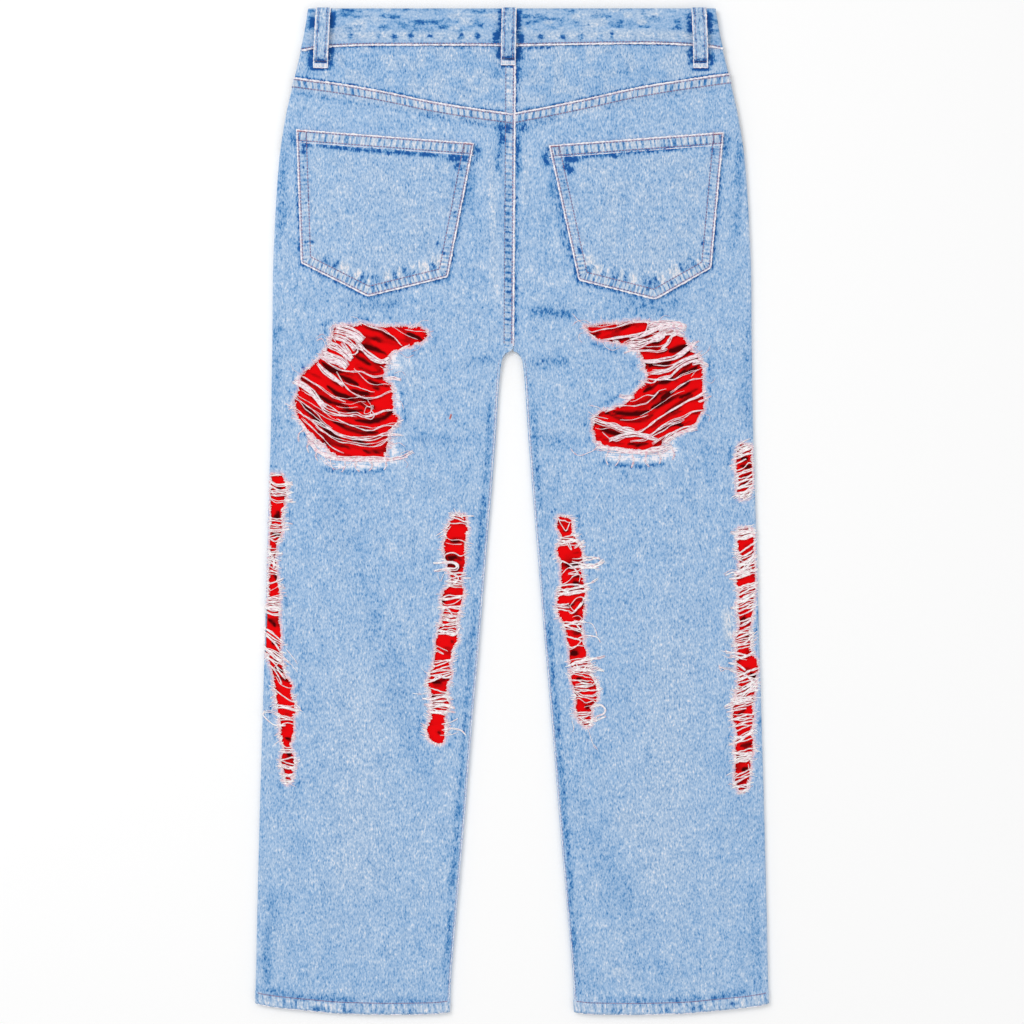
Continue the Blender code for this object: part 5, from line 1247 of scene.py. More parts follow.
# The waistband: blotched along its upper part, with a rubbed strip and small blue squares below.
waistband = {
    "cells": (250, 24),
    "top": 1.6,
    "shade": [
        (0.7, 5.5, -161, 27, -161, 32), (0.55, 5.2, -133, 27, -133, 32), (0.9, 5.6, -117, 27, -117, 32),
        (0.95, 5.6, -101, 27, -101, 32), (0.85, 5.6, -82, 27, -82, 32), (0.4, 5.2, -66, 27, -66, 31),
        (0.8, 5.5, -51, 27, -51, 32), (0.85, 5.5, -34.5, 27, -34.5, 32), (1.6, 5.5, -15, 25, -16, 34),
        (1.6, 5, 8, 26, 9, 35), (0.8, 5.6, 29, 27, 29, 32), (0.8, 5.6, 50.5, 27, 50.5, 32),
        (0.75, 5.8, 69, 27, 69, 32), (0.6, 5.4, 88, 27, 88, 32), (0.8, 3.6, 99.6, 25, 99.6, 31),
        (0.35, 5.2, 121, 27, 121, 31), (0.5, 3, 143, 26, 143, 30), (0.45, 5.4, 166, 27, 166, 32),
        (1.6, 6.8, -180.5, 2, -180, 12, -180.5, 22), (0.5, 5, -170, 20, -158, 22), (1.6, 6, -199, 11, -200, 22),
        (1.6, 5.6, -11, 2, -11, 14, -11.5, 24), (1.7, 6.4, 5.5, 2, 5.5, 12, 6, 24),
        (0.7, 4, 12, 17, 28, 13, 46, 12), (0.3, 6, -118, 16, -96, 17, -72, 16),
        (0.3, 5, -115, 21, -96, 23, -76, 22), (0.4, 4, -70, 13, -52, 14), (0.5, 4.5, -44, 12, -28, 20),
        (0.4, 3.5, -160, 10, -140, 9), (0.5, 3.5, 32, 19, 44, 21), (0.55, 4, 60, 15, 78, 19),
        (0.28, 6, 88, 14, 104, 18, 122, 16), (0.4, 4, 130, 10, 150, 12),
        (1.5, 7.2, 178.5, 8, 179, 17, 178.5, 25), (0.5, 4, 160, 15, 170, 14),
        (1.4, 6.2, 196.5, 5, 197.5, 16, 198, 26), (0.3, 3, -150, 3, -60, 3), (0.3, 3, 40, 2, 150, 2),
    ],
    "worn": [
        (0.75, 8.5, -205, 29.5, -120, 29, -20, 29.5), (0.75, 8.5, 6, 29.5, 100, 28, 200, 29),
        (0.4, 9, -150, 8, -130, 14), (0.35, 9, -60, 8, -40, 6), (0.35, 10, 60, 8, 90, 6),
        (0.35, 10, 120, 8, 150, 6), (0.2, 10, -110, 6, -80, 8), (0.2, 10, 20, 6, 50, 8),
    ],
}


def bandPlan(u, v):
    down = 18 + 0 * u
    for _ in range(4):
        across = overSide(down) * (2 * u - 1)
        low = bandEdge(across) - garment["seamGap"]
        down = waistband["top"] + (low - waistband["top"]) * v
    return across, down


def bandMarks(across, down):
    low = bandEdge(across) - down
    shade = strokes(across, down, waistband["shade"]) * np.where(low < 14, 1.45, 1.0)
    upper = ease((low - 13) / 3)
    streaks = 0.5 * upper * ease((soft(0.55 * across, 1.3 * down, 6.5, 33) - 0.6) / 0.25)
    blotches = 0.6 * upper * ease((soft(0.6 * across, 1.2 * down, 8, 31) - 0.52) / 0.2)
    seamShade = 0.5 * ease((3.5 - low) / 1.5) * ease((low - 1.4) / 0.6)
    return {
        "shade": most(shade, streaks, seamShade, 0.14 * ease((12.5 - low) / 2)),
        "worn": most(strokes(across, down, waistband["worn"]), blotches),
    }


def bandPlace(across, down):
    wave = 0.5 * (soft(across, down * 2, 16, 12) - 0.5) * ease(down / 6)
    low = bandEdge(across) - down
    step = -0.35 * ease((down - 23.5) / 1.5) * ease((low - 0.4) / 1.2)  # inside the band, the seam ends here
    return onLevel(1, across, down, garment["bandRise"] + wave + step)


layCloth(
    "waistband_cloth_back", planSheet(*waistband["cells"], bandPlan), bandPlace, bandMarks,
    bandDenims, ["waistband_back"], garment["band"],
)
print("waistband laid")

# Patch pockets. Corners: top outer, top inner, bottom inner, tip, bottom outer.
pocket = {
    "cells": (92, 82),
    "hem": 11.5,
    "corners": {
        -1: [(-214.9, 122.7), (-38.2, 136.1), (-64.3, 269.3), (-143.8, 288.7), (-210.3, 255.4)],
        1: [(210.9, 125.4), (37.1, 138.4), (66.8, 272.6), (143.0, 291.8), (198.5, 260.4)],
    },
    "shade": {
        -1: [
            (0.75, 4, -202, 137, -160, 142, -100, 146, -56, 150), (0.8, 4, -172, 141, -150, 143),
            (0.85, 4, -135, 143, -120, 146), (0.9, 6, -66, 151, -50, 150, -44, 152),
            (0.9, 6, -55, 156, -50, 163), (0.7, 5, -211, 137, -200, 138), (0.6, 4, -209, 140, -207, 148),
            (0.8, 2.4, -208, 160), (0.7, 2.6, -208, 177), (0.75, 2.4, -206, 196), (0.6, 2.6, -207, 212),
            (0.7, 3, -206, 233, -205, 236), (0.6, 2.5, -204, 234, -197, 235), (0.6, 2.4, -53, 185),
            (0.7, 2.6, -57, 205), (0.6, 2.6, -62, 230, -60, 226), (0.7, 3.4, -71, 243, -66, 246),
            (0.6, 3, -75, 236), (0.5, 3.5, -129, 280, -121, 273), (0.45, 3, -154, 277, -160, 270),
            (0.4, 3, -178, 263, -172, 259), (0.35, 3, -100, 268, -96, 262),
        ],
        1: [
            (0.7, 4, 52, 151, 100, 147, 150, 143, 194, 138), (0.85, 7, 50, 150, 60, 152, 72, 149),
            (0.95, 7, 52, 158, 60, 166), (0.9, 5, 98, 147, 106, 149), (0.7, 4, 146, 142, 166, 141),
            (0.6, 5, 199, 141, 202, 146), (0.8, 2.6, 53, 176), (0.6, 2.4, 56, 190), (0.7, 2.6, 60, 205),
            (0.6, 2.4, 63, 222), (0.8, 3, 66, 240, 69, 246), (0.6, 2.6, 198, 160), (0.7, 2.6, 197, 178),
            (0.7, 2.4, 194, 196), (0.6, 2.6, 194, 214), (0.7, 3, 191, 234, 190, 238),
            (0.5, 3.4, 88, 268, 94, 262), (0.45, 3, 112, 274, 116, 268), (0.5, 3.4, 160, 276, 166, 270),
            (0.4, 3, 180, 264, 176, 256),
        ],
    },
    "worn": {
        -1: [
            (0.25, 30, -180, 250, -140, 262, -90, 256), (0.2, 40, -130, 170, -140, 210), (0.5, 7, -144, 274),
            (0.5, 6, -78, 254), (0.4, 6, -198, 248),
        ],
        1: [
            (0.25, 30, 180, 252, 140, 262, 90, 258), (0.2, 40, 140, 170, 130, 215), (0.5, 7, 142, 276),
            (0.4, 6, 80, 256), (0.5, 12, 176, 164, 182, 172),
        ],
    },
}


def pocketEdges(side, own, down):
    # Distance in from the pocket's nearest edge, how far round that is, and distance below the top.
    corners = np.array(pocket["corners"][side], float)
    gap, way = awayFrom(side * own, down, corners[[0, 4, 3, 2, 1]])
    below, alongTop = awayFrom(side * own, down, corners[[0, 1]])
    return gap, 600 * way, below, 180 * alongTop


def pocketPlan(side, u, v):
    topOuter, topInner, lowInner, tip, lowOuter = [np.array(c, float) for c in pocket["corners"][side]]
    top = topOuter + (topInner - topOuter) * u[:, None]
    outerHalf = lowOuter + (tip - lowOuter) * (2 * u[:, None])
    innerHalf = tip + (lowInner - tip) * (2 * u[:, None] - 1)
    low = np.where((u < 0.5)[:, None], outerHalf, innerHalf)
    spot = top + (low - top) * v[:, None]
    return side * spot[:, 0], spot[:, 1]


def pocketMarks(side, own, down):
    across = side * own
    gap, way, below, wayTop = pocketEdges(side, own, down)
    inHem = below < pocket["hem"]
    lowPart = ease((down - 240) / 16)
    # Above the lower seam the cloth is gathered into pale scallops with blue between them.
    scallop = soft(way, 0 * way, 6.5, 17)
    gathers = lowPart * ease((1 - np.abs(gap - 14.5) / 10) * 1.3)
    blue = 0.62 * gathers * ease((scallop - 0.5) / 0.25)
    rim = 0.16 * ease(1 - gap / 34) * ease(1.2 - below / 120)  # bluer towards the sides
    pale = gathers * ease((0.6 - scallop) / 0.25)
    return {
        "over": np.where(inHem, below * 10 / pocket["hem"], gap),
        "along": np.where(inHem, wayTop + 50, way + 300),
        "strip": np.where(inHem, 1.0, 0.45 + 0.5 * lowPart),
        "shade": most(1.35 * strokes(across, down, pocket["shade"][side]), blue, rim, 0.05),
        "worn": most(
            strokes(across, down, pocket["worn"][side]), pale, 0.12 + 0.2 * rubbedPatches(across, down)
        ),
    }


def pocketLift(side, own, down):
    gap, way, below, wayTop = pocketEdges(side, own, down)
    hem = 0.7 * ease((pocket["hem"] + 0.9 - below) / 1.0)
    roll = -0.25 * ease((1.0 - np.minimum(gap, below)) / 1.0)
    groove = -0.3 * ease(1 - np.abs(gap - 9.5) / 1.8) * (below > pocket["hem"])
    full = 0.9 * ease((gap - 10) / 35) * ease((below - 12) / 25)
    wave = puckers(wayTop + 50, below * 10 / pocket["hem"], 0.6)
    wave = wave + puckers(way + 300, gap, 0.5) * (below > pocket["hem"])
    return garment["denim"] + garment["plyGap"] + hem + roll + groove + full + wave


def pocketPlace(side, own, down):
    return onCloth(1, side, own, down, pocketLift(side, own, down))


for word, side in sides.items():
    layCloth(
        "pocket_cloth_" + word, planSheet(*pocket["cells"], partial(pocketPlan, side)),
        partial(pocketPlace, side), partial(pocketMarks, side), [stoneWashedDenim],
        ["back_pocket_" + word], garment["denim"],
    )
print("pockets laid")

# Belt loops: straps with rubbed edges and a folded foot.
beltLoops = {
    # across at the top, across at the foot, length
    "back": {
        "left": (-187.9, -191.1, 61.0),
        "centre": (-2.8, -3.8, 58.2),
        "right": (186.2, 188.3, 61.0),
    },
    "front": {"left": (-100.0, -103.0, 56.0), "right": (100.0, 103.0, 56.0)},
    "width": 14.3,
    "wall": 1.5,
    "stand": 4.6,
    "clear": 4.0,
    # share of the length, share of the stand
    "bow": [
        (0.0, 0.0), (0.07, 0.02), (0.14, 0.72), (0.20, 1.0),
        (0.78, 1.0), (0.84, 0.72), (0.895, 0.02), (1.0, 0.0),
    ],
}


def loopPlace(loop, front, offset, share):
    onCentre = abs(loop[0]) < garment["fellWidth"]
    middle = loop[0] + (loop[1] - loop[0]) * share
    crown = 0.25 * ease((6.9 - np.abs(offset)) / 1.2) - 0.2 * ease(1 - np.abs(np.abs(offset) - 4.6) / 1.1)
    if front:
        down = frontBandTop(middle) + 0.5 + loop[2] * share
        return np.stack([middle + offset, garment["length"] / 2 - down, 0.25 - crown], 1) / 1000
    down = 1.0 + (loop[2] - 1.0) * share
    onBand = down < seamDown("bandLow", np.where(loop[0] < 0, -1, 1), middle) + beltLoops["clear"]
    raised = np.where(onBand, garment["bandRise"], garment["fellRise"] * onCentre)
    ground = onLevel(1, middle, down, raised + garment["plyGap"])
    rise = beltLoops["wall"] + beltLoops["stand"] * follow(beltLoops["bow"], 1, share) + crown - 0.25
    return ground + np.stack([offset, 0 * offset, rise], 1) / 1000


def frontBandTop(across):
    share = np.minimum(1, np.abs(across) / garment["halfWaist"])
    return garment["frontDip"][0] + garment["frontDip"][1] * (1 - share**2)


def loopMarks(loop, offset, share):
    edge = beltLoops["width"] / 2 - np.abs(offset)
    foot = (1 - share) * loop[2]
    inner = ease(1 - np.abs(np.abs(offset) - 4.1) / 1.6)
    uneven = ease((soft(0 * offset, share * loop[2], 7, loop[2]) - 0.45) / 0.2)
    middle = 0.3 * ease(1 - np.abs(offset) / 3.4) * uneven
    tack = ease(1.3 - np.abs(foot - 6.6) / 2.3)
    nearFoot = 0.45 * ease((17 - foot) / 9) * (np.abs(offset) < 5)
    base = 0.26 if abs(loop[0]) < garment["fellWidth"] else 0.13
    return {
        "shade": most(base + 0.62 * inner, middle, nearFoot, 1.9 * tack) * (foot > 4.2),
        "worn": most(0.5, 0.9 * ease((2.4 - edge) / 1.4), 0.9 * ease((4.3 - foot) / 0.8)),
    }


def loopPlan(u, v):
    return (u - 0.5) * beltLoops["width"], v


for face in ("back", "front"):
    for word, loop in beltLoops[face].items():
        isBack, ending = face == "back", face + "_" + word
        layCloth(
            "belt_loop_cloth_" + ending, planSheet(12, 46, loopPlan), partial(loopPlace, loop, not isBack),
            partial(loopMarks, loop), [stoneWashedDenim], ["belt_loop_" + ending],
            beltLoops["wall"] - 0.1, isBack,
        )
print("belt loops laid")

# The front, which is underneath: panels with round pocket openings, facings, fly and waistband.
frontSide = {
    "cells": (56, 190),
    "scoop": ((222.0, 48.0), (104.0, 96.0)),  # the round opening's centre, and its half sizes
    "flyEdge": 18.0,
    "bandHeight": 38.0,
    "shield": (4.0, 38.0, 150.0),  # its middle across, its width and its length
    "facing": (107.0, 155.0),  # its inner edge across, and how far down it ends
}


def frontBandLow(across):
    share = np.minimum(1, np.abs(across) / garment["halfWaist"])
    return frontBandTop(across) + frontSide["bandHeight"] + 3.0 * share**4


def scoopEdge(grow=0.0):
    (middle, down), (reach, depth) = frontSide["scoop"]
    turns = np.linspace(0, 2 * math.pi, 49)[:-1]
    return [(middle + (reach + grow) * math.cos(t), down + (depth + grow) * math.sin(t)) for t in turns]


def frontMarks(side, own, down):
    hem = seamDown("hemLow", side, side * own) - down
    inHem = hem < 30
    opening, _ = awayFrom(own, down, np.array(scoopEdge() + scoopEdge()[:1]))
    knee = ease(1 - np.hypot((own - 135) / 60, (down - 600) / 130))
    thigh = ease(1 - np.hypot((own - 120) / 70, (down - 380) / 150))
    return {
        "over": np.where(inHem, 0.85 * hem, 99.0),
        "along": own,
        "strip": 0.9 * inHem,
        "shade": 0.5 * ease((5 - opening) / 4) * (opening > 1.5),
        "worn": np.maximum(0.35 * np.maximum(knee, thigh), 0.6 * ease((1.5 - opening) / 1.2)),
    }


for word, side in sides.items():
    plan = partial(
        panelPlan, -1, side, 300, lambda across: frontBandLow(across) + garment["seamGap"],
        partial(seamDown, "hemLow", side),
    )
    panel = cutOut(planSheet(*frontSide["cells"], plan), [scoopEdge()])
    layCloth(
        "leg_front_" + word, panel, partial(onCloth, -1, side), partial(frontMarks, side),
        panelDenims, ["front_panel_" + word], garment["denim"], up=False,
    )

    def facingPlan(u, v):
        own, (inner, lowest) = 150 + 0 * u, frontSide["facing"]
        for _ in range(5):
            start = frontBandLow(own) + garment["seamGap"]
            down = start + (lowest - start) * v
            own = inner + (outerEdge(down) - edgeRadius(down) - inner) * u
        return own, down

    layCloth(
        "pocket_facing_cloth_" + word, planSheet(26, 22, facingPlan),
        partial(onCloth, -1, side, lift=-1.5), lambda own, down: {"worn": 0 * own + 0.1},
        panelDenims, ["pocket_facing_" + word], 0.9, False,
    )

    def frontBandPlan(u, v):
        first = -frontSide["flyEdge"] if side < 0 else frontSide["flyEdge"] + 0.3
        down = 20 + 0 * u
        for _ in range(5):
            own = first + (overSide(down) - first) * u
            top, low = frontBandTop(own), frontBandLow(own) - garment["seamGap"]
            down = top + (low - top) * v
        return own, down

    layCloth(
        "waistband_cloth_front_" + word, planSheet(110, 16, frontBandPlan),
        partial(onCloth, -1, side, lift=0.8, whole=True),
        lambda own, down: {"worn": 0.3 * ease((down - frontBandTop(own) - 24) / 4)},
        bandDenims, ["waistband_front_" + word], 2.2, up=False,
    )


def shieldPlan(u, v):
    middle, width, length = frontSide["shield"]
    across = middle + (u - 0.5) * width
    return across, frontBandLow(across) + 0.3 + length * v


layCloth(
    "fly_shield_cloth", planSheet(12, 40, shieldPlan), lambda across, down: onLevel(-1, across, down, -1.5),
    lambda own, down: {"worn": 0 * own}, [stoneWashedDenim], ["fly_shield"], 1.0,
    False,
)


def buildButton():
    # A round jeans button: dished face, rolled rim.
    head = bmesh.new()
    bmesh.ops.create_circle(head, cap_ends=True, segments=48, radius=0.0085)
    rounds = [(0.0006, 0.0004), (0.0009, -0.0001), (0.0020, -0.0005), (0.0030, 0.0)]
    top = head.faces[:]
    grown = bmesh.ops.extrude_face_region(head, geom=top)
    raised = [item for item in grown["geom"] if isinstance(item, bmesh.types.BMVert)]
    face = [item for item in grown["geom"] if isinstance(item, bmesh.types.BMFace)]
    bmesh.ops.translate(head, verts=raised, vec=(0, 0, -0.0011))
    for width, depth in rounds:
        bmesh.ops.inset_region(head, faces=face, thickness=width, depth=0.0)
        bmesh.ops.translate(head, verts=list({v for f in face for v in f.verts}), vec=(0, 0, -depth))
    bmesh.ops.recalc_face_normals(head, faces=head.faces)
    down = frontBandTop(0.0) + 19.0
    bmesh.ops.translate(head, verts=head.verts, vec=(0, (garment["length"] / 2 - down) / 1000, 0.0017))
    mesh = bpy.data.meshes.new("button_head")
    head.to_mesh(mesh)
    head.free()
    return makePiece("button_head", mesh, [agedBrass], ["button"])


buildButton()
print("front laid")


def rubbedEdge(points, radius=0.5, step=1.3):
    # An uneven bead of rubbed cloth along a folded edge; the points are in metres.
    line = alongLine(points, step / 1000)
    line = line + dice.normal(0, 0.00012, line.shape)
    return line, np.clip(radius * dice.normal(1.0, 0.25, len(line)), 0.25, 1.35)


def sewn(points, length=2.7, gap=0.5, radius=0.52, sink=0.15):
    # A row of stitches: each comes up, lies on the cloth and goes down again.
    line = alongLine(points, 0.0004)
    stride, run, rows = int((length + gap) / 0.4), int(length / 0.4), []
    for start in range(0, len(line) - run - 1, stride):
        stitch = line[[start, start + 1, start + run - 1, start + run]].copy()
        stitch[[0, 3], 2] -= sink / 1000
        rows.append((stitch, [radius * 0.6, radius, radius, radius * 0.6]))
    return rows


def barTack(start, end, width=1.0, radius=0.28):
    # A dense zigzag between two points in metres.
    count = max(4, int(np.linalg.norm(np.subtract(end, start)) * 1000 / 0.38))
    line = np.linspace(start, end, count)
    way = np.subtract(end, start)[:2] / max(1e-9, np.linalg.norm(np.subtract(end, start)[:2]))
    swing = (np.arange(count) % 2 - 0.5) * width / 1000
    line[:, 0] += -way[1] * swing
    line[:, 1] += way[0] * swing
    line[:, 2] += 0.00022
    return [(line, radius)]


seams = {
    "firstRow": 1.7,  # from an edge to its row of stitches
    "secondRow": 9.3,
    "hemRow": 11.4,
}


def yokeLine(side, below, lift):
    # A line along the yoke seam, from the middle out and round the side.
    own = np.linspace(0.4, 232, 240)
    down = seamDown("yokeSeam", side, own) + below
    keep = own < overSide(down) - garment["lip"]
    return onCloth(1, side, own[keep], down[keep], lift, whole=True)


def centreLine(inside, lift):
    # A line down the centre back seam, so far inside its felled edge.
    down = np.linspace(58, 338, 160)
    middle = 3.7 - 2.3 * down / garment["crotch"]
    return onLevel(1, middle - inside, down, lift)


def panelLine(side, fromInner, start, end, lift, face=1):
    # A line down the inseam, measured over the cloth from where its turned edge begins.
    down = np.linspace(start, end, 260)
    return onCloth(face, side, innerEdge(face, side, down) + edgeRadius(down) + fromInner, down, lift)


def hemLine(side, above, lift, face=1):
    own = np.linspace(64.5, 254.0, 160)
    return onCloth(face, side, own, seamDown("hemLow", side, own) - above, lift)


def pocketLine(side, inset, lift):
    # The pocket's outline so far in from its edge, from one top corner round to the other.
    corners = np.array(pocket["corners"][side], float)[[0, 4, 3, 2, 1]]
    line = alongLine(corners, 0.8)
    middle = np.array([side * 128.0, 205.0])
    across = sideways(np.gradient(line, axis=0))
    across *= np.sign(((middle - line) * across).sum(1))[:, None]
    line = alongLine(line + across * inset, 0.8, 3)
    gap, _ = awayFrom(line[:, 0], line[:, 1], corners)
    line = line[gap > inset - 0.25]
    own = side * line[:, 0]
    return onCloth(1, side, own, line[:, 1], pocketLift(side, own, line[:, 1]) + lift)


def pocketTop(side, below, lift, start=0.0, end=1.0):
    corners = np.array(pocket["corners"][side], float)
    spots = corners[0] + (corners[1] - corners[0]) * np.linspace(start, end, 200)[:, None]
    spots[:, 1] += below
    own = side * spots[:, 0]
    return onCloth(1, side, own, spots[:, 1], pocketLift(side, own, spots[:, 1]) + lift)


def loopEdge(loop, offset, start, end, lift=0.0):
    share = np.linspace(start, end, 70)
    line = loopPlace(loop, False, offset + 0 * share, share)
    line[:, 2] += lift / 1000
    return line


def bandLine(face, above, lift, start=-209.5, end=209.5):
    across = np.linspace(start, end, 420)
    if face > 0:
        return onLevel(1, across, bandEdge(across) - above, lift)
    return onLevel(-1, across, frontBandLow(across) - above, lift)


rise, ply, first, hem = garment["fellRise"], 0.1, seams["firstRow"], pocket["hem"]
beads, rows, tacks = [rubbedEdge(bandLine(1, 0.2, 1.15), 1.0)], sewn(bandLine(1, 1.9, 0.95)), []
for side in (-1, 1):
    for line, radius in (
        (yokeLine(side, 0.5, rise + 0.1), 0.92), (pocketLine(side, 0.35, ply), 0.82),
        (pocketTop(side, 0.35, ply), 0.82), (pocketTop(side, hem + 0.6, 0.0), 0.38),
        (panelLine(side, -1.8, 368, 1003, 0.05), 0.3), (hemLine(side, 0.2, 0.2), 0.4),
    ):
        beads.append(rubbedEdge(line, radius))
    for line in (
        yokeLine(side, first + 0.2, rise + 0.1), yokeLine(side, seams["secondRow"], rise + 0.05),
        pocketLine(side, first, ply), pocketLine(side, 9.5, ply + 0.15),
        pocketTop(side, first, ply), pocketTop(side, hem - 1.0, ply),
    ):
        rows += sewn(line)
    for start, end in ((0.005, 0.055), (0.945, 0.995)):
        line = pocketTop(side, 1.2, ply, start, end)
        tacks += barTack(line[0], line[-1], 0.9)
    for share in (0.055, 0.945):
        upper, lower = [pocketTop(side, below, ply, share, share)[0] for below in (1.0, hem - 0.6)]
        rows += barTack(upper, lower, 1.0, 0.2)
    rows += sewn(panelLine(side, -0.6, 352, 1000, 0.0), radius=0.2)
    rows += sewn(hemLine(side, seams["hemRow"], 0.55), gap=0.3, radius=0.45)
beads.append(rubbedEdge(centreLine(0.2, rise + 0.1), 0.92))
rows += sewn(centreLine(1.9, rise + 0.1)) + sewn(centreLine(9.4, rise + 0.05), radius=0.34)
for loop in beltLoops["back"].values():
    half = beltLoops["width"] / 2
    for offset in (0.3 - half, half - 0.3):
        beads.append(rubbedEdge(loopEdge(loop, offset, 0.0, 1.0, -0.1), 0.5))
    # The end of the strap, and the fold above it.
    for share, inset, radius in ((0.995, 0.3, 0.6), (0.935, 0.8, 0.4)):
        ends = [loopEdge(loop, offset, share, 1.0)[0] for offset in (inset - half, half - inset)]
        beads.append(rubbedEdge(np.array(ends), radius))
    for offset in (-4.3, 4.3):
        rows += sewn(loopEdge(loop, offset, 0.01, 0.9, 0.05), radius=0.34)
    left, right = [loopEdge(loop, offset, 0.89, 1.0, 0.1)[0] for offset in (-6.0, 6.0)]
    rows += barTack(left, right, 2.6, 0.24)
makeTubes("rubbed_seam_edges", beads, rubbedFold, 1)
makeTubes("topstitching_back", rows, mauveTopstitch)
makeTubes("pocket_bar_tacks", tacks, redBarTack)

frontRows = []
for start, end in ((-206, 18), (19, 206)):
    for above in (1.8, 36.0):
        frontRows += sewn(bandLine(-1, above, 0.95, start, end))
for side in (-1, 1):
    scoop = np.array(scoopEdge(1.8))
    low = (scoop[:, 1] > frontBandLow(scoop[:, 0]) + 1.5) & (scoop[:, 0] < outerEdge(scoop[:, 1]) - 4)
    scoop = alongLine(scoop[low][np.argsort(scoop[low][:, 0])], 2.0)
    frontRows += sewn(onCloth(-1, side, scoop[:, 0], scoop[:, 1], 0.1))
    frontRows += sewn(hemLine(side, seams["hemRow"], -0.2, -1))
    frontRows += sewn(panelLine(side, 0.4, 352, 1000, 0.05, -1), radius=0.2)
flyCurve = alongLine([(38, 86), (38, 190), (34, 206), (24, 216), (5, 222)], 2.0, 4)
for inset in (0.0, 6.5):
    across, down = flyCurve.T
    frontRows += sewn(onLevel(-1, across - inset, down - inset * (down > 205), 0.1))
makeTubes("topstitching_front", frontRows, mauveTopstitch)
print("seams sewn")


def threadLine(side, name, route, strand, strands):
    # One strand of a thread: it wanders beside its route, and sags where it crosses the hole.
    line = alongLine(route, 1.5, 3)
    count = len(line)
    wander = np.cumsum(dice.normal(0, 0.2, (count, 2)), axis=0)
    wander[1:-1] = (wander[:-2] + wander[1:-1] + wander[2:]) / 3
    wander -= np.linspace(0, 1, count)[:, None] * wander[-1]
    spread = (strand - (strands - 1) / 2) * (0.62 if strands < 4 else 0.85)
    apart = spread * (0.5 + 1.0 * soft(np.arange(count), 0 * line[:, 0] + strand * 2.1, 6, len(route)))
    line = line + wander + sideways(np.gradient(line, axis=0)) * apart[:, None]
    edge = np.vstack([ripEdges[name], ripEdges[name][:1]])
    gap, _ = awayFrom(line[:, 0], line[:, 1], edge)
    inside = within(line[:, 0], line[:, 1], ripEdges[name])
    sag = np.where(inside, -0.9 * ease(gap / 9), 0.0)
    lift = 0.45 + sag + 0.35 * soft(line[:, 0], line[:, 1], 5, strand + 3)
    limit = outerEdge(line[:, 1]) + 4.5
    own = np.minimum(side * line[:, 0], limit)
    return onCloth(1, side, own, line[:, 1], lift)


def fringe(side, name, step, out, into):
    # Short bared ends all round a hole: weft ends lie across the leg, warp ends along it.
    edge = ripEdges[name]
    line = alongLine(np.vstack([edge, edge[:1]]), step)
    away = sideways(np.roll(line, -2, axis=0) - np.roll(line, 2, axis=0))
    probe = within(line[:, 0] + away[:, 0], line[:, 1] + away[:, 1], edge)
    away[probe] *= -1
    made = []
    for spot, facing in zip(line, away):
        shaggy = ease((soft(spot[0], spot[1], 4.5, 14) - 0.3) / 0.4)
        if dice.random() > 0.25 + 0.75 * shaggy:
            continue
        across = abs(facing[0]) > 0.35
        lean = 1.3 * (soft(spot[0], spot[1], 9, 21) - 0.5)
        way = (
            np.array([math.copysign(1, facing[0]), lean + dice.normal(0, 0.22)]) if across else facing
            + dice.normal(0, 0.4, 2)
        )
        scale = dice.uniform(0.25, 1.0) ** 1.6 * (1.0 if across else 0.6) * (0.3 + 1.0 * shaggy)
        start, end = (
            spot + way * out * scale,
            spot - way * into * dice.uniform(0.1, 1.0) ** 1.5 * (1.0 if across else 0.5),
        )
        middle = spot + dice.normal(0, 0.5, 2)
        run = alongLine([start, middle, end], 1.6, 1)
        run[:, 1] += dice.normal(0, 0.2, len(run))
        height = (
            np.linspace(0.25, 0.1, len(run))
            + 0.4 * np.sin(np.linspace(0, math.pi, len(run))) * dice.uniform(0.3, 1.2)
        )
        own = np.minimum(side * run[:, 0], outerEdge(run[:, 1]) + 4.0)
        made.append((onCloth(1, side, own, run[:, 1], height), dice.uniform(0.24, 0.42)))
    return made


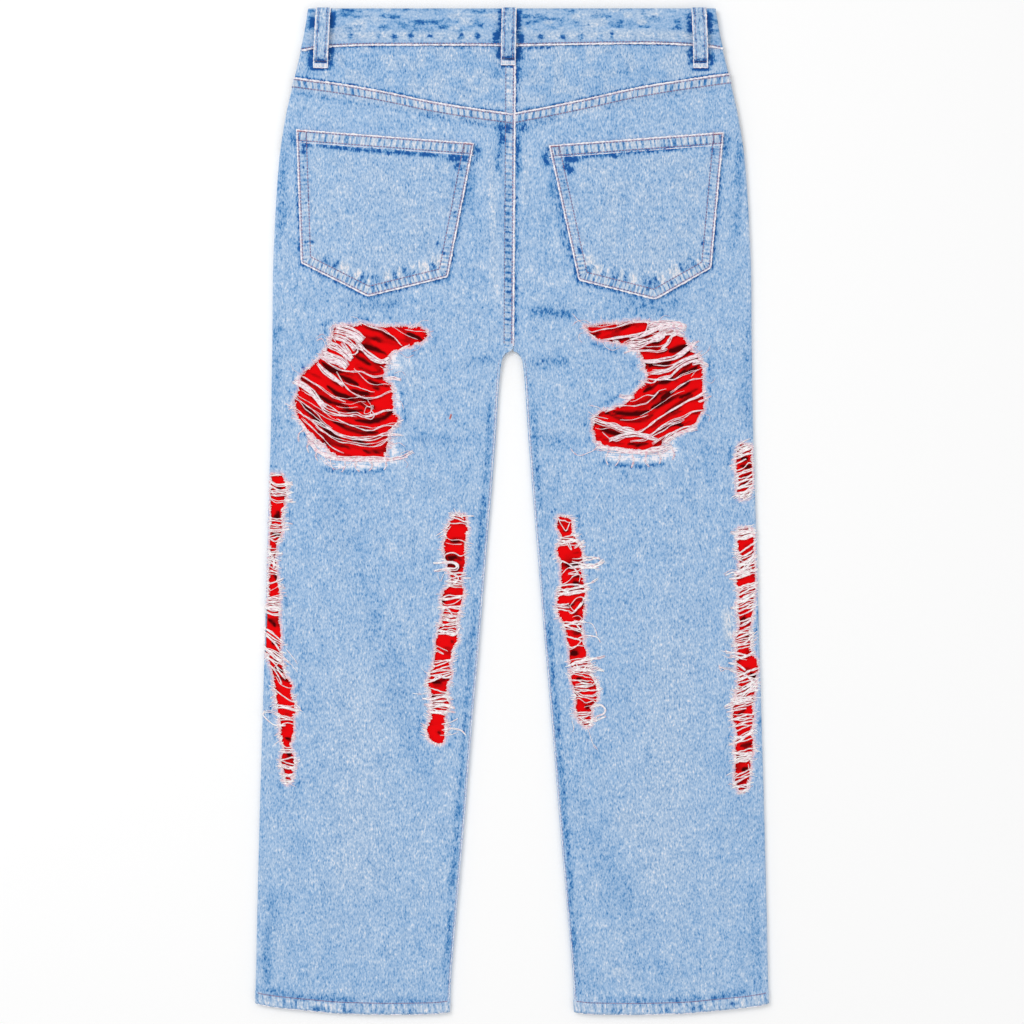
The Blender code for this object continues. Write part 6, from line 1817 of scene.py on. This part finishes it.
# Bared weft that still bridges the narrow rips, strand beside strand. A row is where it starts and
# ends down the leg, the gap between strands, its slant, and its ends where they aren't at the edges.
weftLadders = {
    "innerLeft": [
        (508, 518, 1.6, -0.1), (563, 565, 1, 0), (566, 579, 1.1, 0.1, -63, -50), (588, 600, 2, -0.1),
        (600, 609, 1.2, 0.05), (609, 622, 2.6, 0), (623, 627, 1.1, 0.1), (652, 658, 1.1, -0.2),
        (659, 667, 2.4, -0.25), (668, 671, 1.2, -0.1), (682, 689, 2.2, 0.1), (689, 704, 0.95, 0.06),
    ],
    "innerRight": [
        (508, 513, 1.8, 0.1), (528, 539, 1, -0.2), (551, 563, 1, 0, 62, 84), (578, 587, 1, -0.1),
        (596, 603, 1.1, 0.1, 43, 54), (614, 619, 1, 0), (620, 632, 2.8, 0.15), (651, 661, 1, -0.2),
        (661, 668, 1.1, 0.1, 60, 76), (673, 680, 1.1, 0.05, 64, 79), (681, 692, 2.8, 0.1),
        (704, 709, 1.2, -0.1), (712, 718, 1.2, 0),
    ],
    "outerLeft": [
        (466, 470, 1.4, 0), (483, 489, 1.6, 0), (512, 522, 1.3, 0), (528, 531, 1, 0), (540, 549, 1.1, 0),
        (551, 560, 1.5, 0.4), (563, 568, 1.2, 0.2), (587, 602, 1, 0), (622, 630, 1.8, 0.5),
        (640, 662, 1.7, 0.8), (697, 702, 1.1, 0.1), (708, 714, 1.3, 0.2), (741, 747, 1.3, 0.1),
        (755, 776, 1.5, 0.3),
    ],
    "outerRightTop": [(436, 447, 1.1, -0.35), (463, 485, 2.5, -0.45), (484, 492, 1.2, -0.3)],
    "outerRight": [
        (520, 531, 0.95, -0.15), (540, 558, 2.8, -0.45), (557, 567, 1, -0.3), (576, 583, 1.6, -0.5),
        (584, 604, 2.6, -0.45), (612, 617, 1.3, -0.3), (621, 642, 2.4, -0.2), (643, 650, 1.2, 0.1, 214, 232),
        (661, 685, 1.8, -0.4), (686, 698, 1, -0.2), (706, 711, 1.4, -0.2), (717, 732, 1.9, -0.1),
        (742, 752, 1.6, -0.3), (765, 768, 1.2, -0.3), (776, 784, 1.4, -0.2),
    ],
}


def ladder(side, name):
    rim, runs = np.reshape(ripRows[name], (-1, 3)).astype(float), []
    for start, end, gap, slant, *ends in weftLadders[name]:
        down = float(start)
        while down < end:
            left, right = ends or (np.interp(down, rim[:, 0], rim[:, 1]), np.interp(down, rim[:, 0], rim[:, 2]))
            left, right = left - 6 * dice.uniform(0.05, 1) ** 1.6, right + 6 * dice.uniform(0.05, 1) ** 1.6
            route = np.linspace((left, down), (right, down), max(4, int((right - left) / 2.2)))
            lean = slant + dice.normal(0, 0.13)
            route[:, 1] += (
                lean * (route[:, 0] - (left + right) / 2)
                + np.cumsum(dice.normal(0, 0.42, len(route)))
            )
            inside = within(route[:, 0], route[:, 1], ripEdges[name])
            lift = 0.4 - 0.4 * inside + 0.5 * dice.random(len(route))
            own = np.minimum(side * route[:, 0], outerEdge(route[:, 1]) + 4.5)
            taper = 0.5 + 0.5 * ease(np.minimum(np.arange(len(route)), np.arange(len(route))[::-1]) / 2.5)
            runs.append((onCloth(1, side, own, route[:, 1], lift), taper * dice.uniform(0.4, 0.9)))
            down += 1.55 * gap * dice.uniform(0.6, 1.5)
    return runs


for name in ripOutlines:
    side = -1 if "Left" in name else 1
    runs = []
    for thickness, strands, *route in looseThreads[name]:
        for strand in range(strands):
            line = threadLine(side, name, np.reshape(route, (-1, 2)), strand, strands)
            width = (
                1.0 if "thigh" not in name else 1.12 if strands > 3 else 0.88
            ) * thickness * dice.uniform(0.6, 1.1)
            along = np.linspace(0, 1, len(line))
            swell = 0.65 + 0.7 * soft(np.arange(len(line)), 0 * line[:, 0], 4, strand + len(runs))
            runs.append((line, width * swell * (0.45 + 0.55 * ease(np.minimum(along, 1 - along) / 0.12))))
    if name in weftLadders:
        runs += ladder(side, name)
    runs += fringe(side, name, 0.8, 5.8, 1.6)
    makeTubes(name + "Threads", runs, bleachedWeft if name in weftLadders else baredWeft)
# One short end of red thread caught in the left leg.
caught = alongLine([(60.8, 406.4), (61.4, 409.0), (62.3, 411.2)], 0.6, 3)
makeTubes("caughtRedThread", [(onCloth(1, -1, caught[:, 0], caught[:, 1], 0.3), 0.85)], redBarTack)
print("threads laid")

# A pale floor, two soft lights and the camera, straight above.
studio = {
    "floor": "#FFFFFF",
    "world": 0.62,
    "key": (-1.5, 1.1, 2.55, 1.6, 37.0),  # place, size and power
    "fill": (1.6, -1.2, 2.6, 2.4, 16.0),
    "camera": (0.0, -0.001, 2.42),
    "lens": 85.0,
}


def buildStudio():
    floor = bmesh.new()
    bmesh.ops.create_grid(floor, x_segments=1, y_segments=1, size=4.0)
    bmesh.ops.translate(floor, verts=floor.verts, vec=(0, 0, -0.0002))
    mesh = bpy.data.meshes.new("floor")
    floor.to_mesh(mesh)
    floor.free()
    finish, _, _ = newMaterial(
        "paleFloor", {"Base Color": linear(studio["floor"]), "Roughness": 0.95, "Specular IOR Level": 0.1}
    )
    mesh.materials.append(finish)
    ground = bpy.data.objects.new("floor", mesh)
    bpy.context.scene.collection.objects.link(ground)
    world = bpy.data.worlds.new("studioLight")
    world.use_nodes = True
    background = world.node_tree.nodes["Background"]
    background.inputs["Color"].default_value = (1, 1, 1, 1)
    background.inputs["Strength"].default_value = studio["world"]
    bpy.context.scene.world = world
    for name in ("key", "fill"):
        x, y, z, size, power = studio[name]
        lamp = bpy.data.lights.new(name, "AREA")
        lamp.size, lamp.energy = size, power
        holder = bpy.data.objects.new(name, lamp)
        holder.location = (x, y, z)
        way = -np.array([x, y, z])
        holder.rotation_euler = (
            math.acos(-way[2] / np.linalg.norm(way)), 0, math.atan2(way[1], way[0]) - math.pi / 2
        )
        bpy.context.scene.collection.objects.link(holder)
    lens = bpy.data.cameras.new("above")
    lens.lens, lens.sensor_width = studio["lens"], 36.0
    lens.clip_start, lens.clip_end = 0.1, 20
    camera = bpy.data.objects.new("above", lens)
    camera.location = studio["camera"]
    bpy.context.scene.collection.objects.link(camera)
    bpy.context.scene.camera = camera
    bpy.context.scene.view_settings.view_transform = "Standard"


buildStudio()
print("studio set")
